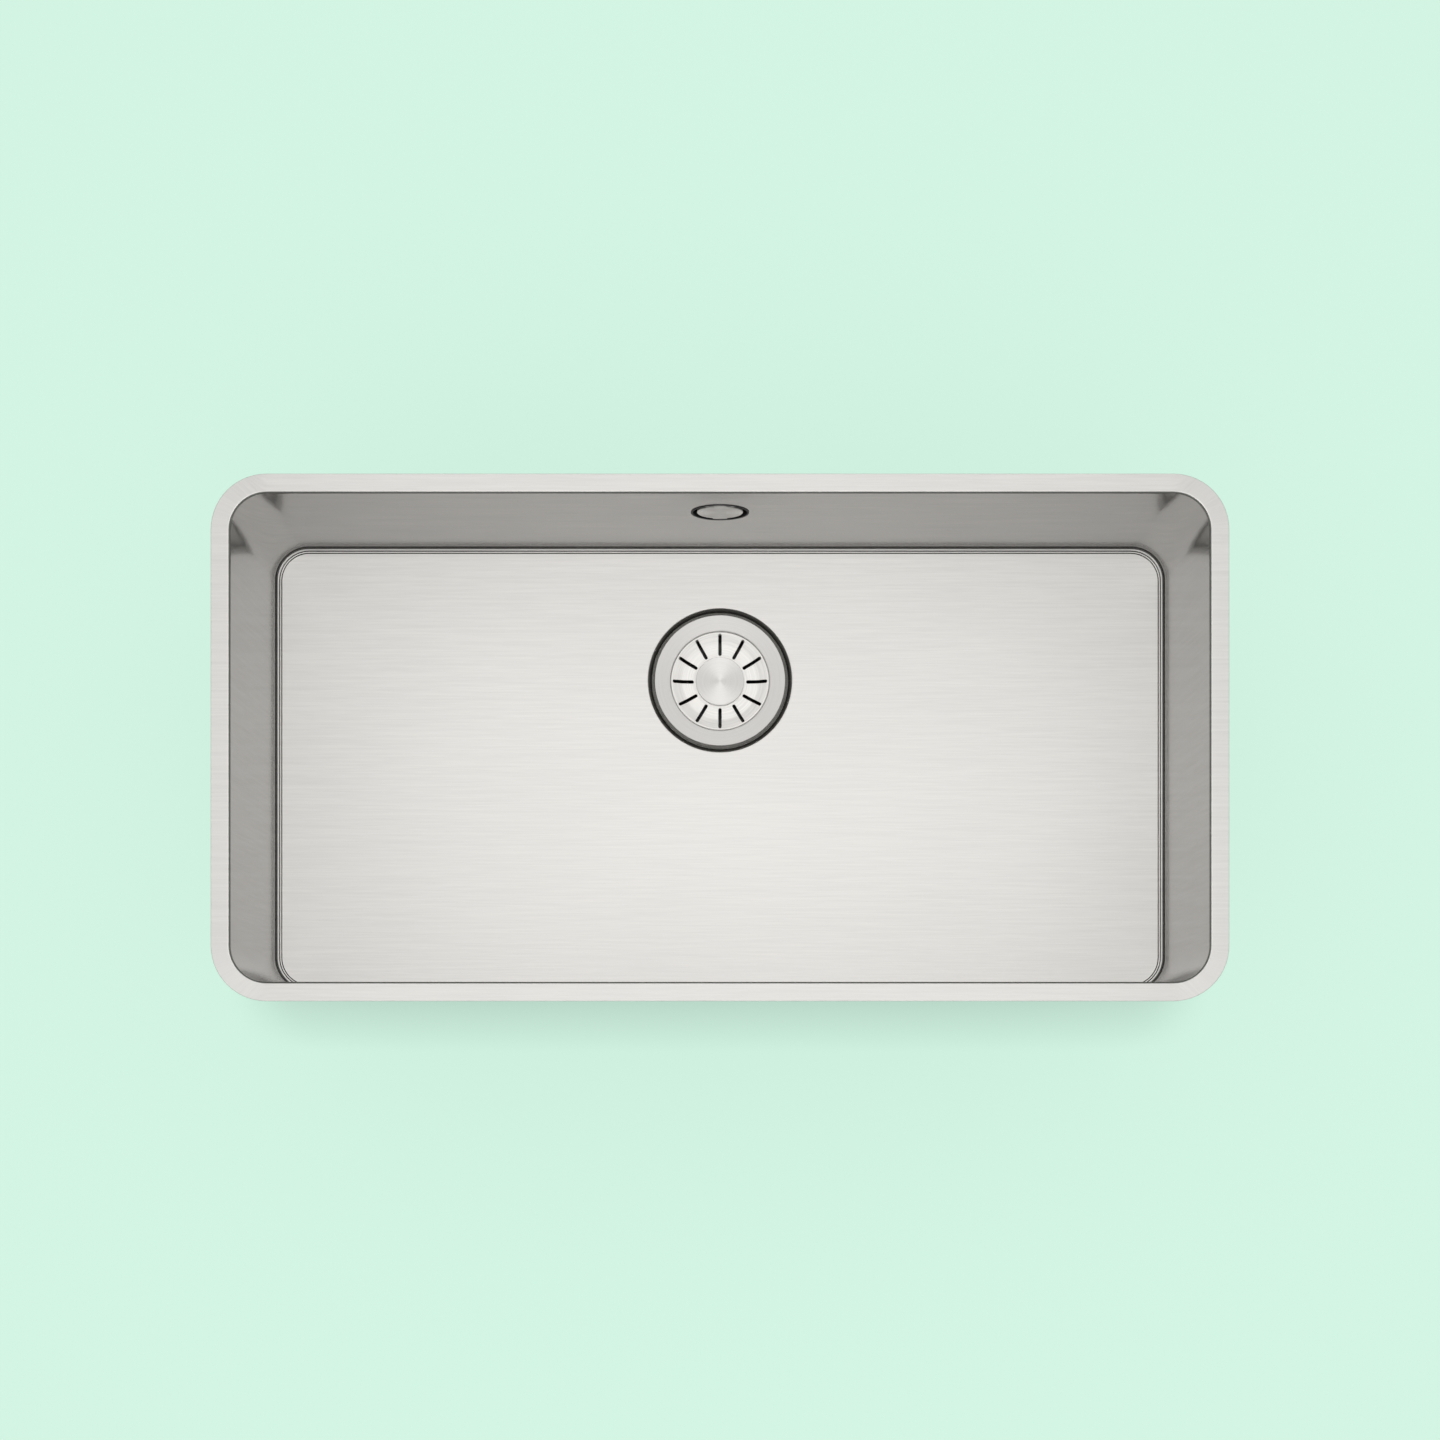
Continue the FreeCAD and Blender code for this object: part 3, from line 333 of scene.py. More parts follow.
def press_bowl():
    """The whole sheet, both faces. Wall and flange: corner axis + radius(i) * direction(j), at
    height z(i). Floor: straight blends from the ledge to the drain seat. Seat: a turned profile."""
    axes, out = round_the_box({"side": 20, "long": 52, "corner": 14})
    count = len(axes)
    foot = bowl_floor_z + 2 * step_down
    first_step, run = wall_radius - 0.0024, 0.0008
    rim = [(flange_radius, 0.0), (wall_radius, 0.0), (wall_radius, foot), (first_step, foot),
           (first_step - run, foot - step_down), (first_step - 2 * run, foot - step_down),
           (first_step - 3 * run, bowl_floor_z), (first_step - 4 * run, bowl_floor_z)]
    radii = [0.002, 0.0016, 0.00025, 0.00025, 0.00025, 0.00025]
    under, under_radii = far_side(rim, radii, sheet)
    seat = [(recess_radius + 0.0044, bowl_floor_z), (recess_radius, bowl_floor_z),
            (recess_foot_radius, seat_z), (waste_hole_radius, seat_z)]
    seat_radii = [0.0022, 0.0008]
    seat_under, seat_under_radii = far_side(seat, seat_radii, sheet)
    levels = np.linspace(overflow_z + patch_reach, overflow_z - patch_reach, patch_steps + 1)
    grids = []
    rows_of = {}
    for face, (line, bends, low, low_bends) in {
            "inside": (rim, radii, seat, seat_radii),
            "outside": (under, under_radii, seat_under, seat_under_radii)}.items():
        edge = bent_line(line, bends)
        wall = np.flatnonzero((edge[:-1, 1] > levels[0]) & (edge[1:, 1] < levels[-1]))[0]
        extra = np.concatenate([[-0.008, -0.017], levels, [-0.1, -0.115, -0.132, -0.150, -0.163]])
        extra = extra[(extra < edge[wall, 1] - 1e-4) & (extra > edge[wall + 1, 1] + 1e-4)]
        edge = np.concatenate([edge[:wall + 1],
                               np.column_stack([np.full(len(extra), edge[wall, 0]), extra]),
                               edge[wall + 1:]])
        # the flange's cut edge, eased by 0.2 mm
        ease = 0.0002
        rise = ease if face == "inside" else -ease
        tip, level = edge[0]
        edge = np.concatenate([[[tip, level - rise], [tip - 0.3 * ease, level - 0.3 * rise],
                                [tip - ease, level], [tip - 2.5 * ease, level]], edge[1:]])
        length = np.concatenate([[0], np.cumsum(np.linalg.norm(np.diff(edge, axis=0), axis=1))])
        spread = edge[-1, 0] + length[-1] - length
        points = np.empty((len(edge), count, 3))
        points[..., :2] = axes + edge[:, None, :1] * out
        points[..., 2] = edge[:, None, 1]
        flat = axes + spread[:, None, None] * out
        faces = grid_faces(len(edge), count)
        mid = (points[:-1] + points[1:]) / 2
        mid = (mid + np.roll(mid, -1, axis=1)) / 2
        window = ((np.abs(mid[..., 0]) < patch_reach) & (mid[..., 1] > corner_y)
                  & (np.abs(mid[..., 2] - overflow_z) < patch_reach))
        grids.append((points, flat, faces[~window]))
        # the wall round the overflow hole: square to circle
        y = wall_y + (0.0 if face == "inside" else sheet)
        side = np.linspace(-patch_reach, patch_reach, patch_steps + 1)[:-1]
        end = np.full(patch_steps, patch_reach)
        loop = np.concatenate([np.column_stack([side, end]), np.column_stack([end, -side]),
                               np.column_stack([-side, -end]), np.column_stack([-end, side])])
        angle = np.arctan2(loop[:, 1], loop[:, 0])
        circle = overflow_hole_radius * np.column_stack([np.cos(angle), np.sin(angle)])
        share = np.array([0, 0.3, 0.6, 0.85, 0.97, 1.0])[:, None, None]
        ring = loop * (1 - share) + circle * share
        patch = np.stack([ring[..., 0], np.full(ring.shape[:2], y), overflow_z + ring[..., 1]], -1)
        top = np.interp(-overflow_z - ring[..., 1], -edge[5:, 1], spread[5:])
        flat_patch = np.stack([ring[..., 0], corner_y + top], -1)
        grids.append((patch, flat_patch, grid_faces(len(ring), len(loop))))
        rows_of[face] = (points, flat, patch, flat_patch)
        # the floor, and the turned seat of the drain
        last = points[-1, :, :2]
        phi = np.arctan2(last[:, 1] - waste_y, last[:, 0])
        turn = np.column_stack([np.cos(phi), np.sin(phi)])
        seat_line = bent_line(low, low_bends)
        hub = np.array([0.0, waste_y])
        circle = hub + seat_line[0, 0] * turn
        share = np.linspace(0, 1, 15)[:, None, None]
        plain = last * (1 - share) + circle * share
        disc = np.concatenate([plain, hub + seat_line[1:, None, :1] * turn])
        height = np.concatenate([np.full(len(plain), seat_line[0, 1]), seat_line[1:, 1]])
        disc_points = np.concatenate([disc, np.broadcast_to(height[:, None, None],
                                                            disc.shape[:2] + (1,))], -1)
        grids.append((disc_points, disc, grid_faces(len(disc), count)))
        rows_of[face] += (disc_points, disc)
    inner, outer = rows_of["inside"], rows_of["outside"]
    for a, flat_a, b, flat_b in ((inner[0][0], inner[1][0], outer[0][0], outer[1][0]),
                                 (inner[2][-1], inner[3][-1], outer[2][-1], outer[3][-1]),
                                 (inner[4][-1], inner[5][-1], outer[4][-1], outer[5][-1])):
        grids.append((np.stack([a, b]), np.stack([flat_a, flat_b]), grid_faces(2, len(a))))
    return join_grids("pressed_bowl", grids)


def new_group(name, inputs, outputs):
    """An empty node group with these values and vectors: (tree, input node, output node)."""
    tree = bpy.data.node_groups.new(name, "ShaderNodeTree")
    for direction, sockets in (("INPUT", inputs), ("OUTPUT", outputs)):
        for label, kind in sockets.items():
            tree.interface.new_socket(name=label, in_out=direction,
                                      socket_type="NodeSocket" + kind)
    return tree, tree.nodes.new("NodeGroupInput"), tree.nodes.new("NodeGroupOutput")


def stretched_noise(nodes, links, place, scale, detail):
    """Soft noise of 0 to 1 over a place, with its scale along X, Y and Z in turns per metre."""
    mapping = nodes.new("ShaderNodeMapping")
    mapping.inputs["Scale"].default_value = scale
    links.new(place, mapping.inputs["Vector"])
    noise = nodes.new("ShaderNodeTexNoise")
    noise.inputs["Scale"].default_value = 1.0
    noise.inputs["Detail"].default_value = detail
    links.new(mapping.outputs[0], noise.inputs["Vector"])
    return noise.outputs["Fac"]


def shade_by(nodes, links, shader, mask, dark, light):
    """The base colour runs from dark to light with a mask of 0 to 1."""
    mix = nodes.new("ShaderNodeMix")
    mix.data_type = "RGBA"
    mix.inputs["A"].default_value = (*dark, 1.0)
    mix.inputs["B"].default_value = (*light, 1.0)
    links.new(mask, mix.inputs["Factor"])
    links.new(mix.outputs["Result"], shader.inputs["Base Color"])
    return mix


def raise_by(nodes, links, shader, height, depth):
    """A bump of this real depth on the shader's normal."""
    bump = nodes.new("ShaderNodeBump")
    bump.inputs["Distance"].default_value = depth
    links.new(height, bump.inputs["Height"])
    links.new(bump.outputs[0], shader.inputs["Normal"])


def group_node(nodes, links, tree, place):
    """A node of this group at a place."""
    node = nodes.new("ShaderNodeGroup")
    node.node_tree = tree
    links.new(place, node.inputs["Place"])
    return node


brushing, given, result = new_group("brushing", {"Place": "Vector"},
                                    {"Lines": "Float", "Height": "Float", "Clouds": "Float"})
nodes, links = brushing.nodes, brushing.links
bands, broad, short, fine = [
    stretched_noise(nodes, links, given.outputs[0], (along, across, 1.0), detail)
    for along, across, detail in ((7.0, 120.0, 2.0), (13.0, 430.0, 3.0), (38.0, 980.0, 2.0),
                                  (90.0, 3600.0, 2.0))]
lines = reckon(nodes, links, "MULTIPLY", broad, 0.45)
lines = reckon(nodes, links, "MULTIPLY_ADD", short, 0.32, lines)
lines = reckon(nodes, links, "MULTIPLY_ADD", bands, 0.23, lines)
links.new(smooth_between(nodes, links, lines, 0.32, 0.68), result.inputs["Lines"])
links.new(reckon(nodes, links, "MULTIPLY_ADD", fine, 0.35, lines), result.inputs["Height"])
links.new(stretched_noise(nodes, links, given.outputs[0], (5.0, 7.0, 1.0), 1.0),
          result.inputs["Clouds"])

steel, nodes, links, shader = node_material("bowl_steel")
sheet_map = nodes.new("ShaderNodeUVMap")
sheet_map.uv_map = "sheet"
brushed = group_node(nodes, links, brushing, sheet_map.outputs[0])
facing = split_up(nodes, links, nodes.new("ShaderNodeNewGeometry").outputs["Normal"])
lies_flat = smooth_between(nodes, links, reckon(nodes, links, "ABSOLUTE", facing["Z"]), 0.9, 0.998)
# Painted shade: the upright walls are coloured about half as light as the floor and flange, for the
# light that falls on them less.
painted_wall_shade = shade_by(nodes, links, shader, lies_flat, (0.300, 0.294, 0.283), (0.615, 0.606, 0.588))
streaks = nodes.new("ShaderNodeMix")
streaks.data_type = "RGBA"
streaks.blend_type = "MULTIPLY"
streaks.inputs["Factor"].default_value = 1.0
links.new(painted_wall_shade.outputs["Result"], streaks.inputs["A"])
height = split_up(nodes, links, own_place(nodes))["Z"]
# Painted shade: the flange's top is coloured about 12% darker than the rest of the sheet, for the
# extra light it gets from the open sky.
painted_flange_shade = smooth_between(nodes, links, height, -0.0016, -0.0004, 0.925, 0.815)
contrast = smooth_between(nodes, links, lies_flat, 0.0, 1.0, 0.26, 0.12)
shade = reckon(nodes, links, "MULTIPLY_ADD", brushed.outputs["Lines"], contrast,
               reckon(nodes, links, "MULTIPLY_ADD", brushed.outputs["Clouds"], 0.05, painted_flange_shade))
# Painted shade: just above the ledges the walls are coloured up to 55% darker, fading out 4.4 mm up,
# for the shade in the crease at their foot.
foot_z = bowl_floor_z + 2 * step_down
above_steps = smooth_between(nodes, links, height, foot_z - 0.00005, foot_z + 0.0001)
foot = smooth_between(nodes, links, height, foot_z + 0.0012, foot_z + 0.0044, 0.55, 0.0)
foot = reckon(nodes, links, "MULTIPLY", foot, above_steps)
shade = reckon(nodes, links, "MULTIPLY", shade, reckon(nodes, links, "SUBTRACT", 1.0, foot))
shades = nodes.new("ShaderNodeCombineColor")
for channel in shades.inputs[:3]:
    links.new(shade, channel)
links.new(shades.outputs[0], streaks.inputs["B"])
links.new(streaks.outputs["Result"], shader.inputs["Base Color"])
satin = smooth_between(nodes, links, lies_flat, 0.0, 1.0, 0.16, 0.68)
links.new(reckon(nodes, links, "MULTIPLY_ADD", brushed.outputs["Lines"], 0.03, satin),
          shader.inputs["Roughness"])
raise_by(nodes, links, shader, brushed.outputs["Height"], 0.000006)
tangent = nodes.new("ShaderNodeTangent")
tangent.direction_type = "UV_MAP"
tangent.uv_map = "sheet"
links.new(tangent.outputs[0], shader.inputs["Tangent"])
shader.inputs["Metallic"].default_value = 1.0
shader.inputs["Anisotropic"].default_value = 0.25
shader.inputs["Anisotropic Rotation"].default_value = 0.25

bowl = press_bowl()
bowl.data.materials.append(steel)
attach(bowl, "sink")
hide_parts("sink_bowl")


# ---------------------------------------------------------------- the basket waste, seen from above
# A spun cup of 1 mm stainless steel whose dished rim lies in the recess, the strainer basket with
# its ring of slots, and the round knob that lifts the plug. Turning leaves fine circles on them.
def off_axis(nodes, links, centre, axis):
    """A point's place from centre, the same with its part along the axis taken out, and its
    distance from the axis."""
    across = [0.0 if letter == axis else 1.0 for letter in "XYZ"]
    from_centre = reckon_vector(nodes, links, "SUBTRACT", own_place(nodes), centre).outputs[0]
    flattened = reckon_vector(nodes, links, "MULTIPLY", from_centre, across).outputs[0]
    radius = reckon_vector(nodes, links, "LENGTH", flattened).outputs["Value"]
    return from_centre, flattened, radius


def spun_steel(name, centre, axis, light, rough, anisotropy):
    """Steel turned about an axis through centre: circles of noise over the radius, and a highlight
    spread across them. Circles: noise of (30 x, 30 y, 1500 radius). Tangent: axis x place."""
    material, nodes, links, shader = node_material(name)
    _, flattened, radius = off_axis(nodes, links, centre, axis)
    parts = split_up(nodes, links, flattened)
    ringed = nodes.new("ShaderNodeCombineXYZ")
    for socket, value in zip(ringed.inputs, (parts["X"], parts["Z" if axis == "Y" else "Y"],
                                             radius)):
        links.new(value, socket)
    circles = stretched_noise(nodes, links, ringed.outputs[0], (30.0, 30.0, 1500.0), 3.0)
    mask = smooth_between(nodes, links, circles, 0.3, 0.7)
    shade_by(nodes, links, shader, mask, [0.90 * value for value in light], light)
    links.new(reckon(nodes, links, "MULTIPLY_ADD", mask, 0.05, rough), shader.inputs["Roughness"])
    raise_by(nodes, links, shader, circles, 0.000012)
    around = nodes.new("ShaderNodeVectorMath")
    around.operation = "CROSS_PRODUCT"
    around.inputs[0].default_value = [1.0 if letter == axis else 0.0 for letter in "XYZ"]
    links.new(flattened, around.inputs[1])
    in_world = nodes.new("ShaderNodeVectorTransform")
    in_world.convert_from = "OBJECT"
    in_world.convert_to = "WORLD"
    links.new(around.outputs[0], in_world.inputs[0])
    links.new(in_world.outputs[0], shader.inputs["Tangent"])
    shader.inputs["Metallic"].default_value = 1.0
    shader.inputs["Anisotropic"].default_value = anisotropy
    shader.inputs["Anisotropic Rotation"].default_value = 0.25
    return material


def dress(material, *names):
    """These CAD nodes take a material."""
    for name in names:
        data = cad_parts[name].data
        data.materials.clear()
        data.materials.append(material)


def on_axis(origin, along):
    """A function of (radius, height, angle): origin + radius * (cos angle * X + sin angle *
    (along x X)) + height * along."""
    along = np.array(along, float)
    first = np.array([1.0, 0.0, 0.0])
    second = np.cross(along, first)

    def place(radius, height, angle):
        radius, height, angle = (v[..., None] for v in np.broadcast_arrays(radius, height, angle))
        return np.array(origin) + radius * (np.cos(angle) * first + np.sin(angle) * second) \
            + height * along
    return place


def turned(name, corners, radii, place, steps=128):
    """A solid of revolution. Its section is a line through corners (radius, height) with rounded
    bends, closed where it doesn't end on the axis. Points: place(r(i), h(i), angle(j))."""
    corners = [tuple(corner) for corner in corners]
    if corners[0][0] > 0 or corners[-1][0] > 0:
        middle = tuple((np.array(corners[0]) + corners[-1]) / 2)
        corners = [middle] + corners + [middle]
    line = bent_line(corners, radii, steps=4, hold=0.00003)
    angle = np.linspace(0, 2 * math.pi, steps, endpoint=False)
    points = place(line[:, :1], line[:, 1:], angle[None, :])
    along = np.concatenate([[0], np.cumsum(np.linalg.norm(np.diff(line, axis=0), axis=1))])
    flat = np.stack(np.broadcast_arrays(angle * line[:, 0].max(), along[:, None]), axis=-1)
    return join_grids(name, [(points, flat, grid_faces(len(line), steps))])


def finish_piece(piece, material, body, slot, *nodes):
    """A piece takes its material, rides on a body and stands for these CAD nodes."""
    piece.data.materials.append(material)
    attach(piece, body)
    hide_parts(*nodes)


def paint_shade_beyond(material, letter, far, near, dark):
    """Painted shade: the base colour goes from dark, past far along an object axis, to its own,
    before near.
    """
    nodes, links = material.node_tree.nodes, material.node_tree.links
    shader = nodes["Principled BSDF"]
    own = shader.inputs["Base Color"].links[0].from_socket
    along = split_up(nodes, links, own_place(nodes))[letter]
    mask = smooth_between(nodes, links, along, far, near)
    mix = shade_by(nodes, links, shader, mask, dark, (1.0, 1.0, 1.0))
    links.new(own, mix.inputs["B"])


drain_axis = (0.0, waste_y, 0.0)
on_drain = on_axis(drain_axis, (0, 0, 1))
waste_steel = spun_steel("waste_steel", drain_axis, "Z", (0.545, 0.537, 0.522), 0.64, 0.5)
# Painted shade: below the basket the cup is coloured nearly black, for the shade down inside the
# drain.
paint_shade_beyond(waste_steel, "Z", -0.1900, -0.1815, (0.085, 0.083, 0.078))
dress(waste_steel, "waste_cup")

# The knob: 41 mm across, 3.4 mm thick, with a face turned very slightly hollow.
knob_under, knob_top, knob_radius = -0.1823, -0.1789, 0.0207
knob = turned("turned_knob", [(0, knob_under), (knob_radius - 0.0008, knob_under),
                              (knob_radius, knob_under + 0.0008),
                              (knob_radius, knob_top - 0.0006),
                              (knob_radius - 0.0006, knob_top), (0.0150, knob_top),
                              (0, knob_top - 0.00012)],
              [0.0003, 0.0003, 0.0003, 0.0003, 0.002], on_drain, 160)
knob_steel = spun_steel("knob_steel", drain_axis, "Z", (0.565, 0.557, 0.541), 0.60, 0.85)
finish_piece(knob, knob_steel, "plug", "strainer_steel", "strainer_knob")


def punch_basket():
    """The dished strainer. Its section is turned; in each of 12 sectors a column follows the slot:
    half width w(r) = sqrt(w0^2 - d^2), d being the distance past the slot's straight part, and
    the last two columns roll the edge down by 0.15 mm."""
    thick, outer = 0.0008, 0.0419
    floor_height, top_height = -0.1835, -0.178
    line = bent_line([(0.0065, floor_height), (0.022, floor_height), (0.0327, -0.1823),
                      (outer, top_height), (outer, -0.1811)],
                     [0.03, 0.009, 0.0009], steps=10, hold=0.00004)
    slot_count, slot_in, slot_out, half_width = 12, 0.0224, 0.0404, 0.0014
    half_sector = math.pi / slot_count
    along = np.concatenate([[0], np.cumsum(np.linalg.norm(np.diff(line, axis=0), axis=1))])
    rising = line[:, 0] < outer - 0.0003
    bow = half_width * (1 - np.cos(np.linspace(0, math.pi / 2, 7)))
    rows = np.concatenate([slot_in + bow, np.linspace(slot_in + 0.003, slot_out - 0.003, 12),
                           slot_out - bow])
    at = np.unique(np.round(np.concatenate([along, np.interp(rows, line[rising, 0],
                                                             along[rising])]), 7))
    radius, height = np.interp(at, along, line[:, 0]), np.interp(at, along, line[:, 1])
    slope = np.stack([np.gradient(radius, at), np.gradient(height, at)], axis=1)
    slope /= np.linalg.norm(slope, axis=1)[:, None]
    past = np.maximum(np.maximum(slot_in + half_width - radius, radius - slot_out + half_width), 0)
    half = np.sqrt(np.maximum(half_width ** 2 - past ** 2, 0))
    half[(radius < slot_in) | (radius > slot_out)] = 0
    grids = []
    share = np.array([0, 0.2, 0.4, 0.6, 0.8, 1.0])
    edge = np.arcsin(half / radius)
    lip = np.where(half > 0, edge + 0.0003 / radius, 0.0)
    for k in range(slot_count):
        for side in (-1, 1):
            turn = half_sector + (lip[:, None] - half_sector) * share
            turn = np.concatenate([turn, (edge + (lip - edge) * 0.35)[:, None], edge[:, None]],
                                  axis=1)
            drop = np.zeros_like(turn)
            drop[half > 0, -2] = 0.00004
            drop[half > 0, -1] = 0.00015
            angle = 2 * half_sector * k + side * turn
            for low in (0.0, thick):
                r = radius[:, None] + slope[:, 1:] * low
                z = height[:, None] - slope[:, :1] * low
                z = z - drop if low == 0 else z
                points = on_drain(r, z, angle)
                grids.append((points, points[..., :2], grid_faces(*angle.shape, closed=False)))
                if low == 0:
                    top = points
            wall = np.stack([top[:, -1], points[:, -1]])
            open_rows = np.flatnonzero(half > 0)
            wall = wall[:, open_rows[0] - 1:open_rows[-1] + 2]
            grids.append((wall, wall[..., :2], grid_faces(2, wall.shape[1], closed=False)))
            for row in (0, -1):
                rim = np.stack([top[row], points[row]])
                grids.append((rim, rim[..., :2], grid_faces(2, rim.shape[1], closed=False)))
    return join_grids("punched_basket", grids, 4e-6)


# Painted light: the basket's steel is coloured far lighter than the cup's, so that its steep dish,
# which mirrors little light, still reads bright.
lightened_basket_steel = spun_steel("strainer_steel", drain_axis, "Z", (0.900, 0.890, 0.870), 0.80, 0.1)
finish_piece(punch_basket(), lightened_basket_steel, "strainer", "strainer_steel", "strainer_basket")


# ---------------------------------------------------------------- the plug under the basket
# A soft black bell on the stem closes the cup's ports. It slides in a moulded bush, a collar stops
# it when it is drawn up, and a steel washer and nut hold it on the stem.
grain, given, result = new_group("moulded_grain", {"Place": "Vector"},
                                 {"Clouds": "Float", "Grain": "Float"})
nodes, links = grain.nodes, grain.links
links.new(smooth_between(nodes, links, stretched_noise(nodes, links, given.outputs[0],
                                                       (45.0, 45.0, 45.0), 3.0), 0.3, 0.7),
          result.inputs["Clouds"])
links.new(stretched_noise(nodes, links, given.outputs[0], (2600.0, 2600.0, 2600.0), 2.0),
          result.inputs["Grain"])


def moulded(name, dark, light, rough, depth):
    """A moulded plastic or rubber: clouds in its colour, and a fine grain of this depth."""
    material, nodes, links, shader = node_material(name)
    marks = group_node(nodes, links, grain, own_place(nodes))
    shade_by(nodes, links, shader, marks.outputs["Clouds"], dark, light)
    links.new(reckon(nodes, links, "MULTIPLY_ADD", marks.outputs["Grain"], 0.16, rough - 0.08),
              shader.inputs["Roughness"])
    raise_by(nodes, links, shader, marks.outputs["Grain"], depth)
    return material


def plated(name, dark, light, rough):
    """Plain or plated steel: a mottled, slightly pitted surface."""
    material, nodes, links, shader = node_material(name)
    marks = group_node(nodes, links, grain, own_place(nodes))
    shade_by(nodes, links, shader, marks.outputs["Clouds"], dark, light)
    links.new(reckon(nodes, links, "MULTIPLY_ADD", marks.outputs["Clouds"], 0.14, rough),
              shader.inputs["Roughness"])
    raise_by(nodes, links, shader, marks.outputs["Grain"], 0.00001)
    shader.inputs["Metallic"].default_value = 1.0
    return material


black_rubber = moulded("black_rubber", (0.018, 0.018, 0.019), (0.030, 0.030, 0.031), 0.62, 0.00004)
bush_plastic = moulded("bush_plastic", (0.022, 0.022, 0.023), (0.040, 0.040, 0.041), 0.42, 0.00002)
screw_steel = plated("screw_steel", (0.44, 0.44, 0.44), (0.56, 0.56, 0.555), 0.38)
bell_lip, bell_crown = -0.2101, -0.2011
bell_face = [(0.032, bell_lip), (0.028, bell_lip), (0.014, bell_crown), (0.003, bell_crown)]
bell_under, bell_radii = far_side(bell_face, [0.002, 0.002], 0.0026)
bell = turned("plug_bell", bell_face + [tuple(p) for p in bell_under[::-1]],
              [0.0006, 0.002, 0.002, 0.0002, 0.0002, *bell_radii[::-1], 0.0006], on_drain, 96)
finish_piece(bell, black_rubber, "plug", "black_rubber", "plug_seal")
dress(bush_plastic, "stem_bush", "stem_collar")
dress(screw_steel, "strainer_stem", "plug_washer", "plug_nut")


# ---------------------------------------------------------------- the seals and the waste body
# A foam ring lies between the cup's rim and the recess and is squeezed out into the groove round the
# rim; the squeezed-out bead is drawn full, partly as real foam and partly as painted shade for that
# groove. A rubber ring below carries the moulded waste body, and a long screw through the cup's
# floor draws on a brass insert in the body.
foam, nodes, links, shader = node_material("foam_seal")
cells = nodes.new("ShaderNodeTexVoronoi")
cells.inputs["Scale"].default_value = 1400.0
links.new(own_place(nodes), cells.inputs["Vector"])
cell_walls = smooth_between(nodes, links, cells.outputs["Distance"], 0.1, 0.7)
shade_by(nodes, links, shader, cell_walls, (0.045, 0.044, 0.040), (0.110, 0.107, 0.098))
raise_by(nodes, links, shader, cell_walls, 0.00015)
links.new(smooth_between(nodes, links, cells.outputs["Distance"], 0.0, 0.8, 0.95, 0.8),
          shader.inputs["Roughness"])
flange_ring = turned("flange_seal_ring", [(0.0465, seat_z), (0.0580, seat_z),
                                          (0.0578, -0.1772), (0.0550, -0.17689),
                                          (0.0465, -0.17843)],
                     [0.0001, 0.0003, 0.0006, 0.0006, 0.0001], on_drain)
finish_piece(flange_ring, foam, "sink", "foam_seal", "flange_seal")
under_seat = seat_z - sheet
body_ring = turned("body_seal_ring", [(0.0460, under_seat - 0.0024), (0.0570, under_seat - 0.0024),
                                      (0.0570, under_seat), (0.0460, under_seat)],
                   [0.0006] * 4, on_drain)
finish_piece(body_ring, black_rubber, "sink", "black_rubber", "body_seal")


def threads(nodes, links, centre, axis, low, high, root, pitch):
    """Ridges every pitch along an axis, between two distances from centre, where the surface
    stands farther than root from the axis: pingpong(distance / pitch + turn) * masks."""
    from_centre, flattened, radius = off_axis(nodes, links, centre, axis)
    distance = split_up(nodes, links, from_centre)[axis]
    flat = split_up(nodes, links, flattened)
    turn = reckon(nodes, links, "ARCTAN2", flat["Z" if axis == "Y" else "Y"], flat["X"])
    count = reckon(nodes, links, "MULTIPLY_ADD", turn, 1 / (2 * math.pi),
                   reckon(nodes, links, "DIVIDE", distance, pitch))
    wave = reckon(nodes, links, "PINGPONG", count, 0.5)
    ridge = smooth_between(nodes, links, wave, 0.05, 0.45)
    fade = 0.0008
    ends = reckon(nodes, links, "MULTIPLY",
                  smooth_between(nodes, links, distance, low, low + fade),
                  smooth_between(nodes, links, distance, high, high - fade))
    out = smooth_between(nodes, links, radius, root - fade / 2, root)
    return reckon(nodes, links, "MULTIPLY", ridge, reckon(nodes, links, "MULTIPLY", ends, out))


def threaded_plastic(name, rough, runs):
    """White moulded plastic whose threaded runs are (centre, axis, low, high, root, pitch)."""
    material = moulded(name, (0.70, 0.70, 0.68), (0.78, 0.78, 0.76), rough, 0.00003)
    nodes, links = material.node_tree.nodes, material.node_tree.links
    shader = nodes["Principled BSDF"]
    height = 0.0
    for run in runs:
        height = reckon(nodes, links, "ADD", threads(nodes, links, *run), height)
    fine_bump = shader.inputs["Normal"].links[0].from_node
    bump = nodes.new("ShaderNodeBump")
    bump.inputs["Distance"].default_value = 0.0008
    links.new(height, bump.inputs["Height"])
    links.new(fine_bump.outputs[0], bump.inputs["Normal"])
    links.new(bump.outputs[0], shader.inputs["Normal"])
    return material


port_z = -0.232
hose_y = 0.20895
spigot_root, spigot_pitch = 0.0135, 0.002
outlet_thread = (drain_axis, "Z", -0.2612, -0.2470, 0.0236, 0.0023)
port_thread = ((0.0, 0.0, port_z), "Y", waste_y + 0.046, waste_y + 0.0595, spigot_root,
               spigot_pitch)
dress(threaded_plastic("waste_body_plastic", 0.38, [outlet_thread, port_thread]), "waste_body")
brass, nodes, links, shader = node_material("insert_brass")
marks = group_node(nodes, links, grain, own_place(nodes))
shade_by(nodes, links, shader, marks.outputs["Clouds"], (0.50, 0.36, 0.13), (0.62, 0.46, 0.19))
links.new(smooth_between(nodes, links, marks.outputs["Grain"], 0.2, 0.8, 0.28, 0.42),
          shader.inputs["Roughness"])
raise_by(nodes, links, shader, marks.outputs["Grain"], 0.00002)
shader.inputs["Metallic"].default_value = 1.0
dress(brass, "clamp_insert")
dress(screw_steel, "clamp_screw")
